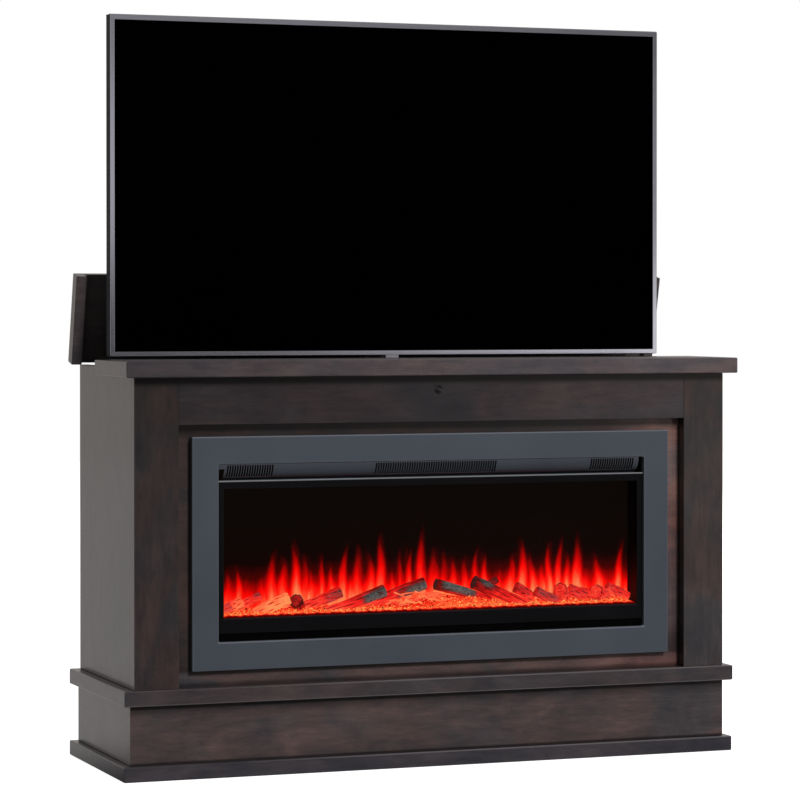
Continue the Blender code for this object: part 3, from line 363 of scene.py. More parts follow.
# tone is each board's brightness, set board by board for one stain, so it is partly painted light and shade
# for how lit each board is
boards = {
    # the painted edge highlight fades out towards the left end
    "base_slab": stain("x", (.3, 1.1, .2), 1.8, 0, tint=(.98, 1, 1.1), fade=(-.48, -.05, 0)),
    # painted shadow of the ledge along the head and a painted contact shadow along the foot
    "plinth_front": stain("x", (1.9, .4, 2.0), 2.15, .75,
                          gain=[(toTop, .118, .145, .45), (toTop, .0375, .033, .3)]),
    "plinth_left": stain("y", (2.7, .9, 1.2), 2, .6),
    "plinth_right": stain("y", (3.1, 1.9, .2), 1, .6),
    "plinth_back": stain("x", (3.9, 2.9, 1.3), 1, .5),
    # painted highlight also on the down-facing eased edge; the painted edge highlight grows weaker towards
    # the left end
    "ledge_front": stain("x", (.7, 3.3, .8), 1.75, .5, tint=(.98, 1, 1.04), fade=(-.48, -.05, .2),
                         under=.5),
    "ledge_left": stain("y", (4.1, .3, 1.8), 1.2, .4),
    "ledge_right": stain("y", (5.2, 1.3, 2.8), 1, .4),
    "side_panel_left": stain("z", (2.2, 4.2, .4), 1, .4),
    "side_panel_right": stain("z", (3.3, 5.2, 1.4), 1, .4),
    # paler towards the foot as painted light, and a painted shadow under the top; the right stile is also
    # darker below the middle and paler again near the foot, and its inner side face is darkened as painted
    # shade
    "face_stile_left": stain("z", (.9, 2.4, 3.1), .72, .95, gain=[(toTop, .8, .2, 1.7), paintedShadowUnderTop]),
    "face_stile_right": stain("z", (5.9, 3.4, .1), .93, 1.5, gain=[
        (toTop, .8, .2, 1.6), (toTop, .52, .45, .8), (toTop, .37, .31, 1.3), paintedShadowUnderTop,
        (toRight, .5515, .5497, .15)]),
    # painted shadow under the top, and paler towards the right end as painted light
    "face_rail_top": stain("x", (6.1, .8, 2.5), .8, .75, tint=(1, 1, 1.08),
                           gain=[paintedShadowUnderTop, (toRight, 0, .45, 1.4)]),
    # painted light and shade: lighter just below the trim's foot where its shadow falls, a lighter and
    # warmer lit strip to the right and a lighter upper right, darker towards the lower right, a painted
    # shadow below the top rail and a painted contact shadow at the foot
    "surround_panel": stain("x", (4.8, 2.6, .9), 1.12, 2, gain=[
        (toTop, .212, .204, 2.2), (toRight, .25, .5, (2.6, 2.0, 1.95)),
        (toUpperRight, .92, .99, (1.6, 1.7, 1.6)), (toLowerRight, -.02, .06, .5),
        (toTop, .67, .684, .55), (toTop, .191, .182, .4)]),
    "firebox_shelf": stain("x", (5.3, 4.6, 1.9), 1, .5),
    # paler from the left end towards the middle; a painted reflection on the level top towards the front; a
    # weak painted edge highlight growing weaker to the left
    "fixed_top": stain("x", (1.4, 5.8, 3.7), 1.8, .55, edge=.25, tint=(1, 1, 1.05),
                       gain=[(toRight, -.5, .1, 1.35)], crest=(-.02, -.16), fade=(-.48, -.05, .4)),
    "hinge_rail": stain("x", (7.4, 1.8, .7), .9, .5),
    "lid_panel": stain("x", (2.4, 6.8, 1.7), 1.8, .4, edge=0),
}

# Paints, plastics, metals and panes of the solids that stay

# edge and edgeShare are the colour and share of a painted highlight on each finish's eased edges
slate = dict(dark=(.044, .051, .065), light=(.0575, .0653, .0806), edge=(.3, .31, .34),
             edgeShare=.6, rough=(.46, .58), grain=900, bump=.1, shine=.35)
# the trim's slate made darker for the vent bar: painted shade of the recessed, downward-curving bar
shadedBarSlate = dict(slate, dark=(.036, .041, .051), light=(.047, .052, .063), edgeShare=0)
blackPaint = dict(dark=(.003, .003, .0036), light=(.0052, .0052, .0062), edge=(.03, .03, .033),
                  edgeShare=.5, rough=(.42, .56), grain=1100, bump=.12, shine=.08)
# the groove's near-black tone is painted shade in the glass frame's shallow groove along its foot
framePaint = dict(blackPaint, groove=(.2676, .2839, .001), grooveShade=(.0006, .0006, .0007, 1))
mouldedBlack = dict(dark=(.0075, .0075, .008), light=(.0125, .0125, .013), edge=(.03, .03, .03),
                    edgeShare=.3, rough=(.5, .66), grain=1500, bump=.25, shine=.35)
backBoard = dict(dark=(.062, .05, .043), light=(.094, .078, .068), edge=(.12, .1, .09),
                 edgeShare=.4, rough=(.6, .76), grain=420, bump=.3, shine=.3)
greenBoard = dict(dark=(.01, .055, .022), light=(.02, .09, .038), edge=(.2, .18, .08),
                  edgeShare=.4, rough=(.35, .5), grain=600, bump=.2, shine=.5)
zinc = dict(dark=(.3, .3, .31), light=(.47, .47, .48), rough=(.3, .46), bump=.12)
dullZinc = dict(zinc, dark=(.15, .15, .155), light=(.24, .24, .245), rough=(.48, .62))
foil = dict(dark=(.62, .62, .63), light=(.8, .8, .81), rough=(.12, .24), bump=.2)
alloy = dict(dark=(.32, .29, .25), light=(.46, .43, .39), rough=(.3, .5), bump=.12)
screenGlass = dict(smear=((3, 3, 9), 3, .6, 1), rough=(.3, .8, .1, .18), Specular_IOR_Level=0,
                   tones=[(.3, (.00005, .00005, .00005)), (.8, (.0002, .0002, .0002))])
clearGlass = dict(smear=((4, 4, 11), 3, .6, 1), rough=(.3, .9, 0, .012), IOR=1.05, Transmission_Weight=1,
                  tones=[(.3, (.955, .965, .965)), (.8, (.99, .99, .99))])

barMetal = sprayedMetal("barMetal", shadedBarSlate)
blackPlastic = sprayedMetal("blackPlastic", mouldedBlack)
zincFlat = brushedMetal("zincFlat", zinc, "x")
solidFinish = {
    sprayedMetal("slateMetal", slate): ("trim_frame",),
    sprayedMetal("framePaint", framePaint): ("glass_frame",),
    sprayedMetal("blackMetal", blackPaint): (
        "shell_bottom", "shell_top", "shell_wrap", "fan_rotor", "tv_crossbar", "tv_rail_left",
        "tv_rail_right"),
    blackPlastic: ("flame_motor", "lift_motor", "lift_control_box", "tv_back_cover"),
    sprayedMetal("backBoard", backBoard): ("partition_panel", "back_panel"),
    sprayedMetal("greenBoard", greenBoard): ("led_board", "control_board"),
    brushedMetal("zincUpright", zinc, "z"): ("lift_outer_column", "lift_middle_column", "lift_inner_column"),
    zincFlat: ("lift_base_plate", "blower_housing"),
    brushedMetal("zincHinge", dullZinc, "x"): ("hinge_lid_leaf", "hinge_frame_leaf", "hinge_pin"),
    brushedMetal("heaterAlloy", alloy, "z"): ("heater_element",),
    brushedMetal("brightFoil", foil, "x"): ("flame_rod",),
    smearedPlastic("screenGlass", **screenGlass): ("tv_screen",),
    smearedPlastic("clearGlass", **clearGlass): ("front_glass",),
}
solidFinish.update({stainedWood("stain_" + node, board): (node,) for node, board in boards.items()})
for material, nodes in solidFinish.items():
    for node in nodes:
        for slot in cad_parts[node].material_slots:
            slot.material = material
print("solids finished")


# Meshes

def gather(x, y, z):
    # coordinates of matching shapes as one array of points
    return np.stack(np.broadcast_arrays(x, y, z), -1)


def roundAngles(sides):
    return np.linspace(0, 2 * math.pi, sides, endpoint=False)


def unit(vectors, axis=-1):
    return vectors / np.linalg.norm(vectors, axis=axis, keepdims=True)


def bell(away, width, power=2):
    # one at the middle, falling as e to the minus (distance over width) to a power
    return np.exp(-(away / width) ** power)


def between(pair, t):
    return pair[0] * (1 - t) + pair[1] * t


def gridFaces(rows, cols, wrapRows=False, wrapCols=False):
    # a quad between each four neighbours of a rows by cols sheet of points
    r, c = np.meshgrid(np.arange(rows - (not wrapRows)), np.arange(cols - (not wrapCols)), indexing="ij")
    down, right = (r + 1) % rows, (c + 1) % cols
    quads = [r * cols + c, r * cols + right, down * cols + right, down * cols + c]
    return np.stack(quads, -1).reshape(-1, 4)


def tubeFaces(rows, cols):
    # a closed skin: each ring joined to the next, and both end rings filled
    faces = gridFaces(rows, cols, wrapCols=True).tolist()
    return faces + [list(range(cols)), list(range((rows - 1) * cols, rows * cols))]


def manyTubes(tubes):
    # closed skins with equal rings put in one mesh: each one's faces are moved on by the points before it
    count, rows, cols = np.shape(tubes)[:3]
    return [[v + rows * cols * k for v in face] for k in range(count) for face in tubeFaces(rows, cols)]


def addObject(name, data):
    thing = bpy.data.objects.new(name, data)
    scene.collection.objects.link(thing)
    return thing


def makePiece(name, points, faces, material, body, replaced=(), values=None, closed=True, sharp=40.0):
    mesh = bpy.data.meshes.new(name)
    mesh.from_pydata(np.reshape(points, (-1, 3)).tolist(), [], [list(face) for face in faces])
    if closed:
        shape = bmesh.new()
        shape.from_mesh(mesh)
        bmesh.ops.recalc_face_normals(shape, faces=shape.faces)
        shape.to_mesh(mesh)
        shape.free()
    for key, column in (values or {}).items():
        column = np.ravel(column).astype(np.float32)
        mesh.attributes.new(key, "FLOAT", "POINT").data.foreach_set("value", column)
    mesh.shade_smooth()
    mesh.set_sharp_from_angle(angle=math.radians(sharp))
    mesh.materials.append(material)
    piece = addObject(name, mesh)
    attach(piece, body)
    if replaced:
        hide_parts(*replaced)
    return piece


def thicken(piece, thickness, sharp=30.0):
    # wall grown behind the sheet's face, kept as plain mesh so that its rims shade crisply
    wall = piece.modifiers.new("wall", "SOLIDIFY")
    wall.thickness = thickness
    wall.offset = -1.0
    evaluated = piece.evaluated_get(bpy.context.evaluated_depsgraph_get())
    mesh = bpy.data.meshes.new_from_object(evaluated)
    piece.modifiers.clear()
    piece.data = mesh
    mesh.set_sharp_from_angle(angle=math.radians(sharp))


def roundedRing(xs, zs, y, radius, steps=5):
    # rectangle in the XZ plane with quarter-circle corners, walked once round
    angle = np.linspace(0, math.pi / 2, steps)
    turns = np.concatenate([angle + math.pi / 2 * k for k in range(4)])
    cornerX = np.repeat([xs[1] - radius, xs[0] + radius, xs[0] + radius, xs[1] - radius], steps)
    cornerZ = np.repeat([zs[1] - radius, zs[1] - radius, zs[0] + radius, zs[0] + radius], steps)
    return gather(cornerX + radius * np.cos(turns), y, cornerZ + radius * np.sin(turns))


def turnedPoints(profile, centre, sides):
    # profile of (depth, radius) pairs turned about an axis along Y
    depth, radius = np.array(profile).T[..., None]
    angle = roundAngles(sides)
    return gather(centre[0] + radius * np.cos(angle), centre[1] + depth, centre[2] + radius * np.sin(angle))


def sweep(path, radius, index=slice(None), scale=1.0):
    # rings square to a path: path point plus radius times (cos across, sin up); index repeats rings for ends
    tangent = unit(np.gradient(path, axis=0))
    across = unit(np.cross(tangent, (0, 0, 1)))
    up = np.cross(across, tangent)
    angle = roundAngles(radius.shape[1])[:, None]
    spokes = np.cos(angle) * across[:, None] + np.sin(angle) * up[:, None]
    return path[index, None] + (radius[index] * scale)[..., None] * spokes[index]


# Fire picture on the screen behind the logs

deck, bedFront, bedBack = .3115, -.16856, -.08856
flames = dict(
    columns=430, rows=84, foot=.004, top=.225, reach=1.08, wisp=(.011, 71, 1.16, .16),
    lean=1.3, sway=(.0017, 9, 40), halfWidth=.0164, girth=(.9, .22, 37), narrowing=(.93, 1.55, .0006),
    edge=2.2, halo=(.22, 1.9), fade=1.9, strength=(.45, .55, 2.6), peak=1.2, core=(.76, .23, .055),
    crowd=(.03, 1.9, 1.4), haze=(.58, .06, 2.4), dimHaze=(.12, .125), hazeShare=(.72, .28), overlap=.3,
    ripple=.62, waves=((105, 1, 13), 3, .6, .6),
    # tip across, tip above the deck, strength, base across, all lengths in millimetres
    tongues=[
        (-414, 94, .5, -414), (-391, 96, .9, -391), (-372, 78, .35, -372), (-339, 83, .5, -339),
        (-318, 125, .85, -322), (-293, 113, .85, -297), (-276, 141, 1., -262), (-249, 121, .6, -250),
        (-234, 94, .8, -238), (-210, 117, .8, -216), (-193, 99, 1., -190), (-160, 132, .9, -170),
        (-147, 86, .8, -147), (-134, 138, .6, -134), (-109, 117, .9, -104), (-85, 154, 1., -85),
        (-58, 86, .8, -60), (-42, 129, .4, -42), (-17, 126, .9, -26), (3, 160, 1., 5),
        (31, 127, .6, 30), (32, 110, .9, 38), (55, 121, .4, 54), (77, 103, .9, 72),
        (102, 105, .8, 100), (129, 122, .85, 121), (145, 110, 1., 146), (178, 82, .7, 178),
        (208, 108, .85, 204), (233, 134, 1., 230), (248, 107, .85, 256), (275, 91, .8, 278),
        (287, 129, .9, 294), (321, 140, .8, 308), (332, 107, .9, 334), (355, 139, 1., 356),
        (374, 77, .5, 374), (398, 100, .95, 408), (462, 128, .85, 445), (470, 62, .5, 468),
        (483, 50, .5, 480)],
    stops=[
        (0, (.003, .0018, .001)), (.08, (.006, .0012, .0008)), (.22, (.07, .0006, .0005)),
        (.4, (.42, .0008, .0006)), (.56, (.95, .0012, .0008)), (.7, (1.0, .016, .007)),
        (.84, (1.0, .085, .03)), (1.0, (1.0, .22, .08))])


def flameHeat(x, z):
    # each tongue is a bell across its leaning centre line that narrows to the tip, inside a wider faint one,
    # with a dim taller wisp beside it; the strongest counts most, a low red haze lies between, thicker where
    # tongues stand close, and all of it is hotter near the bed
    tongues = np.array(flames["tongues"]) / (1000, 1000, 1, 1000)
    aside, turns, taller, dim = flames["wisp"]
    wisps = tongues.copy()
    wisps[:, 0] += aside * np.sin(turns * tongues[:, 3])
    wisps[:, 1:3] *= (taller, dim)
    tip, high, strength, foot = np.vstack([tongues, wisps]).T
    share = np.clip(z[..., None] / (high * flames["reach"]), 0, 1)
    sway, turns, start = flames["sway"]
    lean = foot + (tip - foot) * share ** flames["lean"] + sway * np.sin(turns * share + start * foot)
    base, more, turns = flames["girth"]
    loss, power, least = flames["narrowing"]
    girth = flames["halfWidth"] * (base + more * np.sin(turns * foot))
    width = girth * (1.0 - loss * share ** power) + least
    away = np.abs(x[..., None] - lean)
    faint, wider = flames["halo"]
    across = bell(away, width, flames["edge"]) + faint * bell(away, wider * width)
    base, more, steep = flames["strength"]
    fade = (1.0 - share ** flames["fade"]) * np.minimum(base + more * strength, steep * strength)
    tongue = (across * fade * (share < 1.0)).max(-1) / flames["peak"]
    low = np.clip(z, 0, None)
    least, more, tall = flames["core"]
    lit = tongue * (least + more * bell(low, tall))
    near, many, most = flames["crowd"]
    crowd = np.minimum((strength * bell(x[..., None] - foot, near)).sum(-1) / many, most)
    thick, thin = flames["haze"], flames["dimHaze"]
    base, more = flames["hazeShare"]
    haze = (thick[0] * bell(low, *thick[1:]) + thin[0] * bell(low, thin[1])) * (base + more * crowd)
    return np.clip(np.maximum(lit, haze) + flames["overlap"] * np.minimum(lit, haze), 0, 1)


def fireGlow(name, stops, ripple=0):
    # lit picture: heat attribute through a ramp of red, orange and yellow
    material, tree, inputs = newMaterial(name, Base_Color=(.001, .001, .001, 1), Roughness=.4,
                                         Specular_IOR_Level=.02, Emission_Strength=1.0)
    heat = readValue(tree, "fireHeat")
    if ripple:
        wave = addNoise(objectPlace(tree), *flames["waves"])
        heat = times(heat, plus(1.0 - ripple / 2, times(wave, ripple)))
    feed(inputs, Emission_Color=addRamp(heat, stops))
    material.cycles.emission_sampling = "NONE"
    return material


def flameScreen():
    # flat sheet over the screen's face, with close rows where the flames stand
    lo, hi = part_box("flame_screen")
    x = np.linspace(lo.x, hi.x, flames["columns"])
    lit = np.linspace(deck - flames["foot"], deck + flames["top"], flames["rows"])
    z = np.concatenate([[lo.z], lit, [hi.z]])[:, None]
    heat = flameHeat(x, z - deck) * (z >= lit[0])
    picture = fireGlow("flamePicture", flames["stops"], flames["ripple"])
    piece = makePiece("flameScreen", gather(x, lo.y, z), gridFaces(*heat.shape), picture, "cabinet",
                      ("flame_screen",), {"fireHeat": heat}, closed=False)
    thicken(piece, hi.y - lo.y)


flameScreen()
print("flames drawn")


# Ember bed

embers = dict(
    front=.0062, rise=.0055, mound=(.015, .06, .085), slices=420, surface=22, wall=.003,
    slope=(1.1, .75), waves=((.001, 171, 5, 0), (.0009, 403, 14, 1)), waveShare=(.7, .5),
    crust=(.3, .6, .85), ends=(.457, .4425, .6), leastEnd=.12, heat=(.85, .34, .7), dullEdge=(.3, .03),
    nest=(.16, -.03, .045, .25), mottle=(.14, .06), frontHeat=(.42, .06, .16),
    count=3000, size=(.001, .0027), uneven=(.6, 1.25), strewn=(1.7, .93, .03), lift=.25,
    margin=(.0032, .008), spread=.17, burntOut=(.045, .1),
    stops=[(0, (.004, .001, .001)), (.22, (.13, .001, .001)), (.42, (.8, .004, .002)),
           (.6, (1.0, .045, .014)), (.78, (1.0, .19, .05)), (1.0, (1.0, .5, .13))])


def heapEnd(x):
    # one over the heap, falling to nothing near the ends of its tray
    last, first, power = embers["ends"]
    return np.clip((last - np.abs(x)) / (last - first), 0, 1) ** power


def heapHeight(x, share):
    # height over the deck: a slope from the front edge to the back, with a mound and small waves
    high, centre, half = embers["mound"]
    rise = embers["rise"] + high * bell(x - centre, half, 4)
    power, steep = embers["slope"]
    slope = share ** power * (3.0 - 2.0 * share) * steep
    wave = sum(size * np.sin(along * x + across * share + start)
               for size, along, across, start in embers["waves"])
    base, more = embers["waveShare"]
    least = embers["leastEnd"]
    tall = embers["front"] + rise * slope + wave * (base + more * share)
    return tall * (least + (1 - least) * heapEnd(x))


def emberHeat(x, share, spread):
    # brightest just behind the front edge, redder up the slope and under the twigs, and uneven
    cooler, centre, half, start = embers["nest"]
    nest = cooler * bell(x - centre, half, 4) * np.clip(share / start, 0, 1)
    most, loss, power = embers["heat"]
    dull, edge = embers["dullEdge"]
    return np.clip(most - loss * share ** power - dull * bell(share, edge) - nest + spread, 0, 1)


def randomTurns(count):
    # rotation matrices from random unit quaternions
    w, x, y, z = unit(rng.normal(size=(4, count)), axis=0)
    rows = [[1 - 2 * (y * y + z * z), 2 * (x * y - z * w), 2 * (x * z + y * w)],
            [2 * (x * y + z * w), 1 - 2 * (x * x + z * z), 2 * (y * z - x * w)],
            [2 * (x * z - y * w), 2 * (y * z + x * w), 1 - 2 * (x * x + y * y)]]
    return np.moveaxis(np.array(rows), -1, 0)


def emberBed(lo, hi, glow):
    # section of the heap's slope, the tray under it and the crust of its front edge, carried along X
    x = np.linspace(lo.x, hi.x, embers["slices"])[:, None]
    share = np.linspace(0, 1, embers["surface"])
    wall, crust = embers["wall"], np.array(embers["crust"])
    under = [(hi.y, lo.z), (hi.y - wall, lo.z), (hi.y - wall, deck - wall), (lo.y + wall, deck - wall),
             (lo.y + wall, lo.z), (lo.y, lo.z), (lo.y, deck)]
    underY, underZ = np.array(under).T
    y = np.concatenate([lo.y + share * (hi.y - lo.y), underY, np.full(crust.size, lo.y)])
    z = np.hstack([deck + heapHeight(x, share), np.broadcast_to(underZ, (x.size, underZ.size)),
                   deck + heapHeight(x, 0) * crust])
    size, dimmer = embers["mottle"]
    spread = size * np.sin(611.0 * x + 31.0 * share) * np.sin(257.0 * x - 17.0 * share) - dimmer
    flicker = np.sin(530.0 * x) * np.sin(197.0 * x + 9.0 * crust)
    most, less, uneven = embers["frontHeat"]
    front = np.clip(most * crust - less + uneven * flicker * crust, 0, 1)
    heat = np.hstack([emberHeat(x, share, spread), np.zeros((x.size, underZ.size)), front]) * heapEnd(x)
    makePiece("emberHeap", gather(x, y, z), tubeFaces(*z.shape), glow, "cabinet",
              ("ember_bed",), {"fireHeat": heat})


def emberGrains(lo, hi, glow):
    # eight-sided crystals strewn over the slope, thickest at the front edge
    count, end = embers["count"], embers["ends"][1]
    x = rng.uniform(-end, end, count)
    power, reach, first = embers["strewn"]
    share = rng.uniform(0, 1, count) ** power * reach + first
    size = rng.uniform(*embers["size"], count)
    corners = np.array([(1, 0, 0), (-1, 0, 0), (0, 1, 0), (0, -1, 0), (0, 0, 1), (0, 0, -1)], float)
    facets = [(0, 2, 4), (2, 1, 4), (1, 3, 4), (3, 0, 4), (2, 0, 5), (1, 2, 5), (3, 1, 5), (0, 3, 5)]
    shape = corners * rng.uniform(*embers["uneven"], (count, len(corners), 1)) * size[:, None, None]
    shape = np.einsum("nij,nkj->nki", randomTurns(count), shape)
    front, both = embers["margin"]
    centre = gather(x, lo.y + front + share * (hi.y - lo.y - both),
                    deck + heapHeight(x, share) + embers["lift"] * size)
    faces = (np.arange(count)[:, None, None] * len(corners) + facets).reshape(-1, 3)
    heat = emberHeat(x, share, rng.normal(0, embers["spread"], count))
    rare, cold = embers["burntOut"]
    heat = np.where(rng.uniform(size=count) < rare, cold, heat)
    makePiece("emberGrains", shape + centre[:, None], faces, glow, "cabinet",
              values={"fireHeat": np.repeat(heat, len(corners))}, sharp=10.0)


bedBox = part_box("ember_bed")
emberGlow = fireGlow("emberGlow", embers["stops"])
emberBed(*bedBox, emberGlow)
emberGrains(*bedBox, emberGlow)
print("ember bed laid")


# Logs: both ends across and up in millimetres, row from front (0) to back (1), radii in millimetres, glow at
# each end, dead grey side (share, start along the log, degrees round it), glow of the sawn faces

def logRow(start, end, row, radius, glow, dead, faces, **more):
    return dict(ends=(start, end), row=row, radius=radius, glow=glow, dead=dead, faces=faces, **more)


logs = {
    "log_1": logRow((-372, 316), (-302, 346), .08, (12, 13), (.9, .98), (0, 0, 0), 1.0, square=.09),
    "log_2": logRow((-266, 319), (-179, 354), .9, (10, 12), (.72, .54), (.35, .55, -40), .36),
    "log_3": logRow((-223, 316), (-96, 355), .08, (10, 12), (.76, .36), (1, .58, -20), .2, band=-.2),
    "log_4": logRow((-144, 318), (4, 363), .9, (9, 13), (.76, .36), (.9, .55, -35), .18, band=-.2),
    "log_5": logRow((29, 361), (150, 325), .9, (11, 9), (.28, .6), (1, -.75, 40), .16, skip=.06, band=0),
    "log_6": logRow((101, 365), (221, 317), .08, (14, 10), (.32, .7), (.9, -.36, 92), .2, skip=.04),
    "log_7": logRow((239, 344), (293, 318), .08, (11, 10), (.56, .64), (.3, -.9, 40), .5),
    "logLeftEnd": logRow((-436, 321), (-394, 340), .5, (11, 10), (.8, .78), (.3, -.5, 30), .7),
    "logLeftBack": logRow((-405, 323), (-350, 351), .9, (8, 9), (.7, .58), (.25, .7, 80), .4),
    "logDarkEnd": logRow((-285, 340), (-268, 327), .45, (14, 11), (.26, .5), (.3, -.9, 90), .44,
                         reach=.024, knots=1.3),
    "logStub": logRow((120, 354), (153, 369), .2, (7, 7), (.4, .26), (.06, .2, 60), .16),
    "logShortBlock": logRow((202, 351), (240, 328), .55, (12, 10), (.5, .62), (.12, -.8, 40), .46,
                            square=.06),
    "logRoundOne": logRow((294, 342), (322, 330), .4, (15, 11), (.62, .66), (.12, -.9, 20), .68,
                          reach=.026, knots=1.6),
    "logWide": logRow((322, 343), (364, 330), .5, (12, 13), (.6, .66), (.15, -.9, 30), .6, knots=1.4),
    "logRoundTwo": logRow((374, 338), (410, 324), .35, (17, 12), (.66, .72), (.12, -.9, 20), .72,
                          reach=.026, knots=1.6),
    "logRightEnd": logRow((410, 346), (456, 322), .6, (9, 12), (.62, .68), (.15, -.8, 30), .5),
}
logForm = dict(rings=44, sides=40, bark=.075, swell=.03, bow=.0016, inFront=.012, margin=.0125, spread=2.2,
               face=(.15, .32, .46, .6, .74, .86, .95), rim=.42, faceGrey=.12, band=.25, soft=.12,
               facing=1.3, under=(1.06, .12), growth=(.3, .25, 26))
barkForm = dict(
    rough=((260, 260, 260), 4, .65), patch=((38, 110, 110), 3, .6, .5), relief=(.5, .0012),
    deadEdge=(.3, .5), deadDark=.42, deadShare=.85, furrow=(.28, .7), furrowGlow=-.46, uneven=.55,
    gloss=(.2, .8, .6, .85),
    char=[(.3, (.006, .005, .005)), (.7, (.032, .022, .02))],
    ash=[(.3, (.03, .03, .032)), (.7, (.2, .195, .185))],
    deadWoodPaintedLight=[(.3, (.022, .022, .022)), (.7, (.15, .155, .145))],
    fire=[(.08, (.006, .001, .001)), (.26, (.07, .002, .002)), (.42, (.36, .004, .004)),
          (.58, (.86, .012, .01)), (.74, (1.0, .055, .03)), (.88, (1.0, .17, .06)),
          (1.0, (1.0, .28, .09))])


def logBark():
    # cast bark lit from within: red to orange with dark painted furrows, and dead grey wood where it is
    # cold, given a grey glow that is painted light in place of the lamps
    material, tree, inputs = newMaterial("logBark", Emission_Strength=1.0, Specular_IOR_Level=.2)
    glow, grey, groove = (readValue(tree, name) for name in ("glow", "grey", "groove"))
    rough, patch = (addNoise(objectPlace(tree), *barkForm[layer]) for layer in ("rough", "patch"))
    char, ash, deadWoodPaintedLight = (addRamp(rough, barkForm[tone]) for tone in ("char", "ash", "deadWoodPaintedLight"))
    deadWood = times(grey, addRange(patch, *barkForm["deadEdge"]))
    furrow = times(addRange(groove, *barkForm["furrow"]), barkForm["furrowGlow"])
    uneven = times(minus(patch, .5), barkForm["uneven"])
    lit = plus(glow, plus(furrow, uneven))
    lit = minus(lit, times(deadWood, barkForm["deadDark"]))
    # grey glow on dead wood: painted light in place of the lamps' light
    fire = mixColours(times(deadWood, barkForm["deadShare"]), addRamp(lit, barkForm["fire"]), deadWoodPaintedLight)
    feed(inputs, Base_Color=mixColours(deadWood, char, ash), Emission_Color=fire,
         Roughness=addRange(rough, *barkForm["gloss"]), Normal=addBump(rough, *barkForm["relief"]))
    material.cycles.emission_sampling = "NONE"
    return material


bark = logBark()


def layLog(name, log, seed):
    # a swept ring whose radius swells along the log and ripples round it; both ends are sawn flat, with
    # growth lines round their middles and a darker rim
    rows, sides = logForm["rings"], logForm["sides"]
    t = np.linspace(0, 1, rows)[:, None]
    angle = roundAngles(sides)
    first, last = np.array(log["ends"]) / 1000
    radius = between(log["radius"], t) / 1000
    thickest = radius.max()
    depth = bedBack - bedFront - logForm["margin"] - logForm["spread"] * thickest
    y = bedFront + logForm["inFront"] + thickest + log["row"] * depth
    x, z = np.split(first + (last - first) * t, 2, axis=1)
    bow = logForm["bow"] * np.sin(math.pi * t + seed)
    path = gather(x, y + log.get("reach", 0) * (t - .5), z + bow)[:, 0]
    ridge = (np.sin(7 * angle + 2.1 * np.sin(6 * t + seed)) + .7 * np.sin(12 * angle + 9 * t + 2 * seed)
             + .5 * np.sin(19 * angle - 14 * t + 3 * seed)) / 2.2
    swell = np.sin(5 * t + seed) + .5 * np.sin(13 * t + 2 * seed)
    square = log.get("square", 0) * np.cos(4 * angle)
    barkDepth = logForm["bark"] * log.get("knots", 1)
    full = radius * (1.0 + barkDepth * ridge + logForm["swell"] * swell - square)
    face = np.array(logForm["face"])
    index = np.concatenate([0 * face, np.arange(rows), 0 * face + rows - 1]).astype(int)
    scale = np.concatenate([face, np.ones(rows), face[::-1]])[:, None]
    share, start, side = log["dead"]
    along = t - start if start >= 0 else np.minimum(-start - t, t - log.get("skip", -1))
    facing = log.get("band", logForm["band"]) + logForm["facing"] * np.cos(angle - math.radians(side))
    grey = share * np.clip(along / logForm["soft"], 0, 1) * np.clip(facing, 0, 1)
    flat, rim = scale < face[-1], scale == face[-1]
    most, less = logForm["under"]
    glow = between(log["glow"], t) * (most - less * np.sin(angle))
    glow = glow[index] - logForm["rim"] * rim * (1.0 + .6 * np.sin(3 * angle + seed))
    mean, more, lines = logForm["growth"]
    growth = mean + more * np.sin(lines * scale + 1.5 * np.sin(2 * angle + seed))
    values = {"glow": np.where(flat, log["faces"], glow),
              "grey": np.where(flat, logForm["faceGrey"] * share, grey[index]),
              "groove": np.where(flat, growth, np.clip(-ridge, 0, 1)[index])}
    node = (name,) if name.startswith("log_") else ()
    label = "fireLog" + name[4:] if node else name
    makePiece(label, sweep(path, full, index, scale), tubeFaces(len(index), sides), bark, "cabinet",
              node, values, sharp=60.0)


for number, (logName, logData) in enumerate(logs.items()):
    layLog(logName, logData, 1.7 * number)

twigs = dict(count=30, left=(-80, 10), length=(24, 52), height=(325, 345), inFront=.022, depth=.026,
             radius=.0015, rings=16, sides=8, glow=.94, spread=(-.25, .1),
             taper=(1.15, .5), aside=(.006, 3), bow=(.007, 2.2), droop=.008)


def twigNest():
    # thin bent twigs: a slow sine bow along a short sloping run
    t = np.linspace(0, 1, twigs["rings"])
    thick, thinner = twigs["taper"]
    radius = twigs["radius"] * (thick - thinner * t)[:, None] * np.ones((1, twigs["sides"]))
    (aside, turns), (bow, bends) = twigs["aside"], twigs["bow"]
    shapes, glow = [], []
    for k in range(twigs["count"]):
        x, long = rng.uniform(*twigs["left"]) / 1000, rng.uniform(*twigs["length"]) / 1000
        z = rng.uniform(*twigs["height"]) / 1000
        y = bedFront + twigs["inFront"] + twigs["depth"] * rng.uniform() + aside * np.sin(turns * t + k)
        z = z + bow * np.sin(bends * t + k) - twigs["droop"] * rng.uniform() * t
        path = gather(x + long * t, y, z)
        shapes.append(sweep(path, radius))
        glow.append(np.full(radius.size, twigs["glow"] + rng.uniform(*twigs["spread"])))
    glow = np.concatenate(glow)
    makePiece("twigNest", shapes, manyTubes(shapes), bark, "cabinet",
              values={"glow": glow, "grey": 0 * glow, "groove": 0 * glow})


twigNest()
print("logs laid")


# Vent bar across the head of the opening

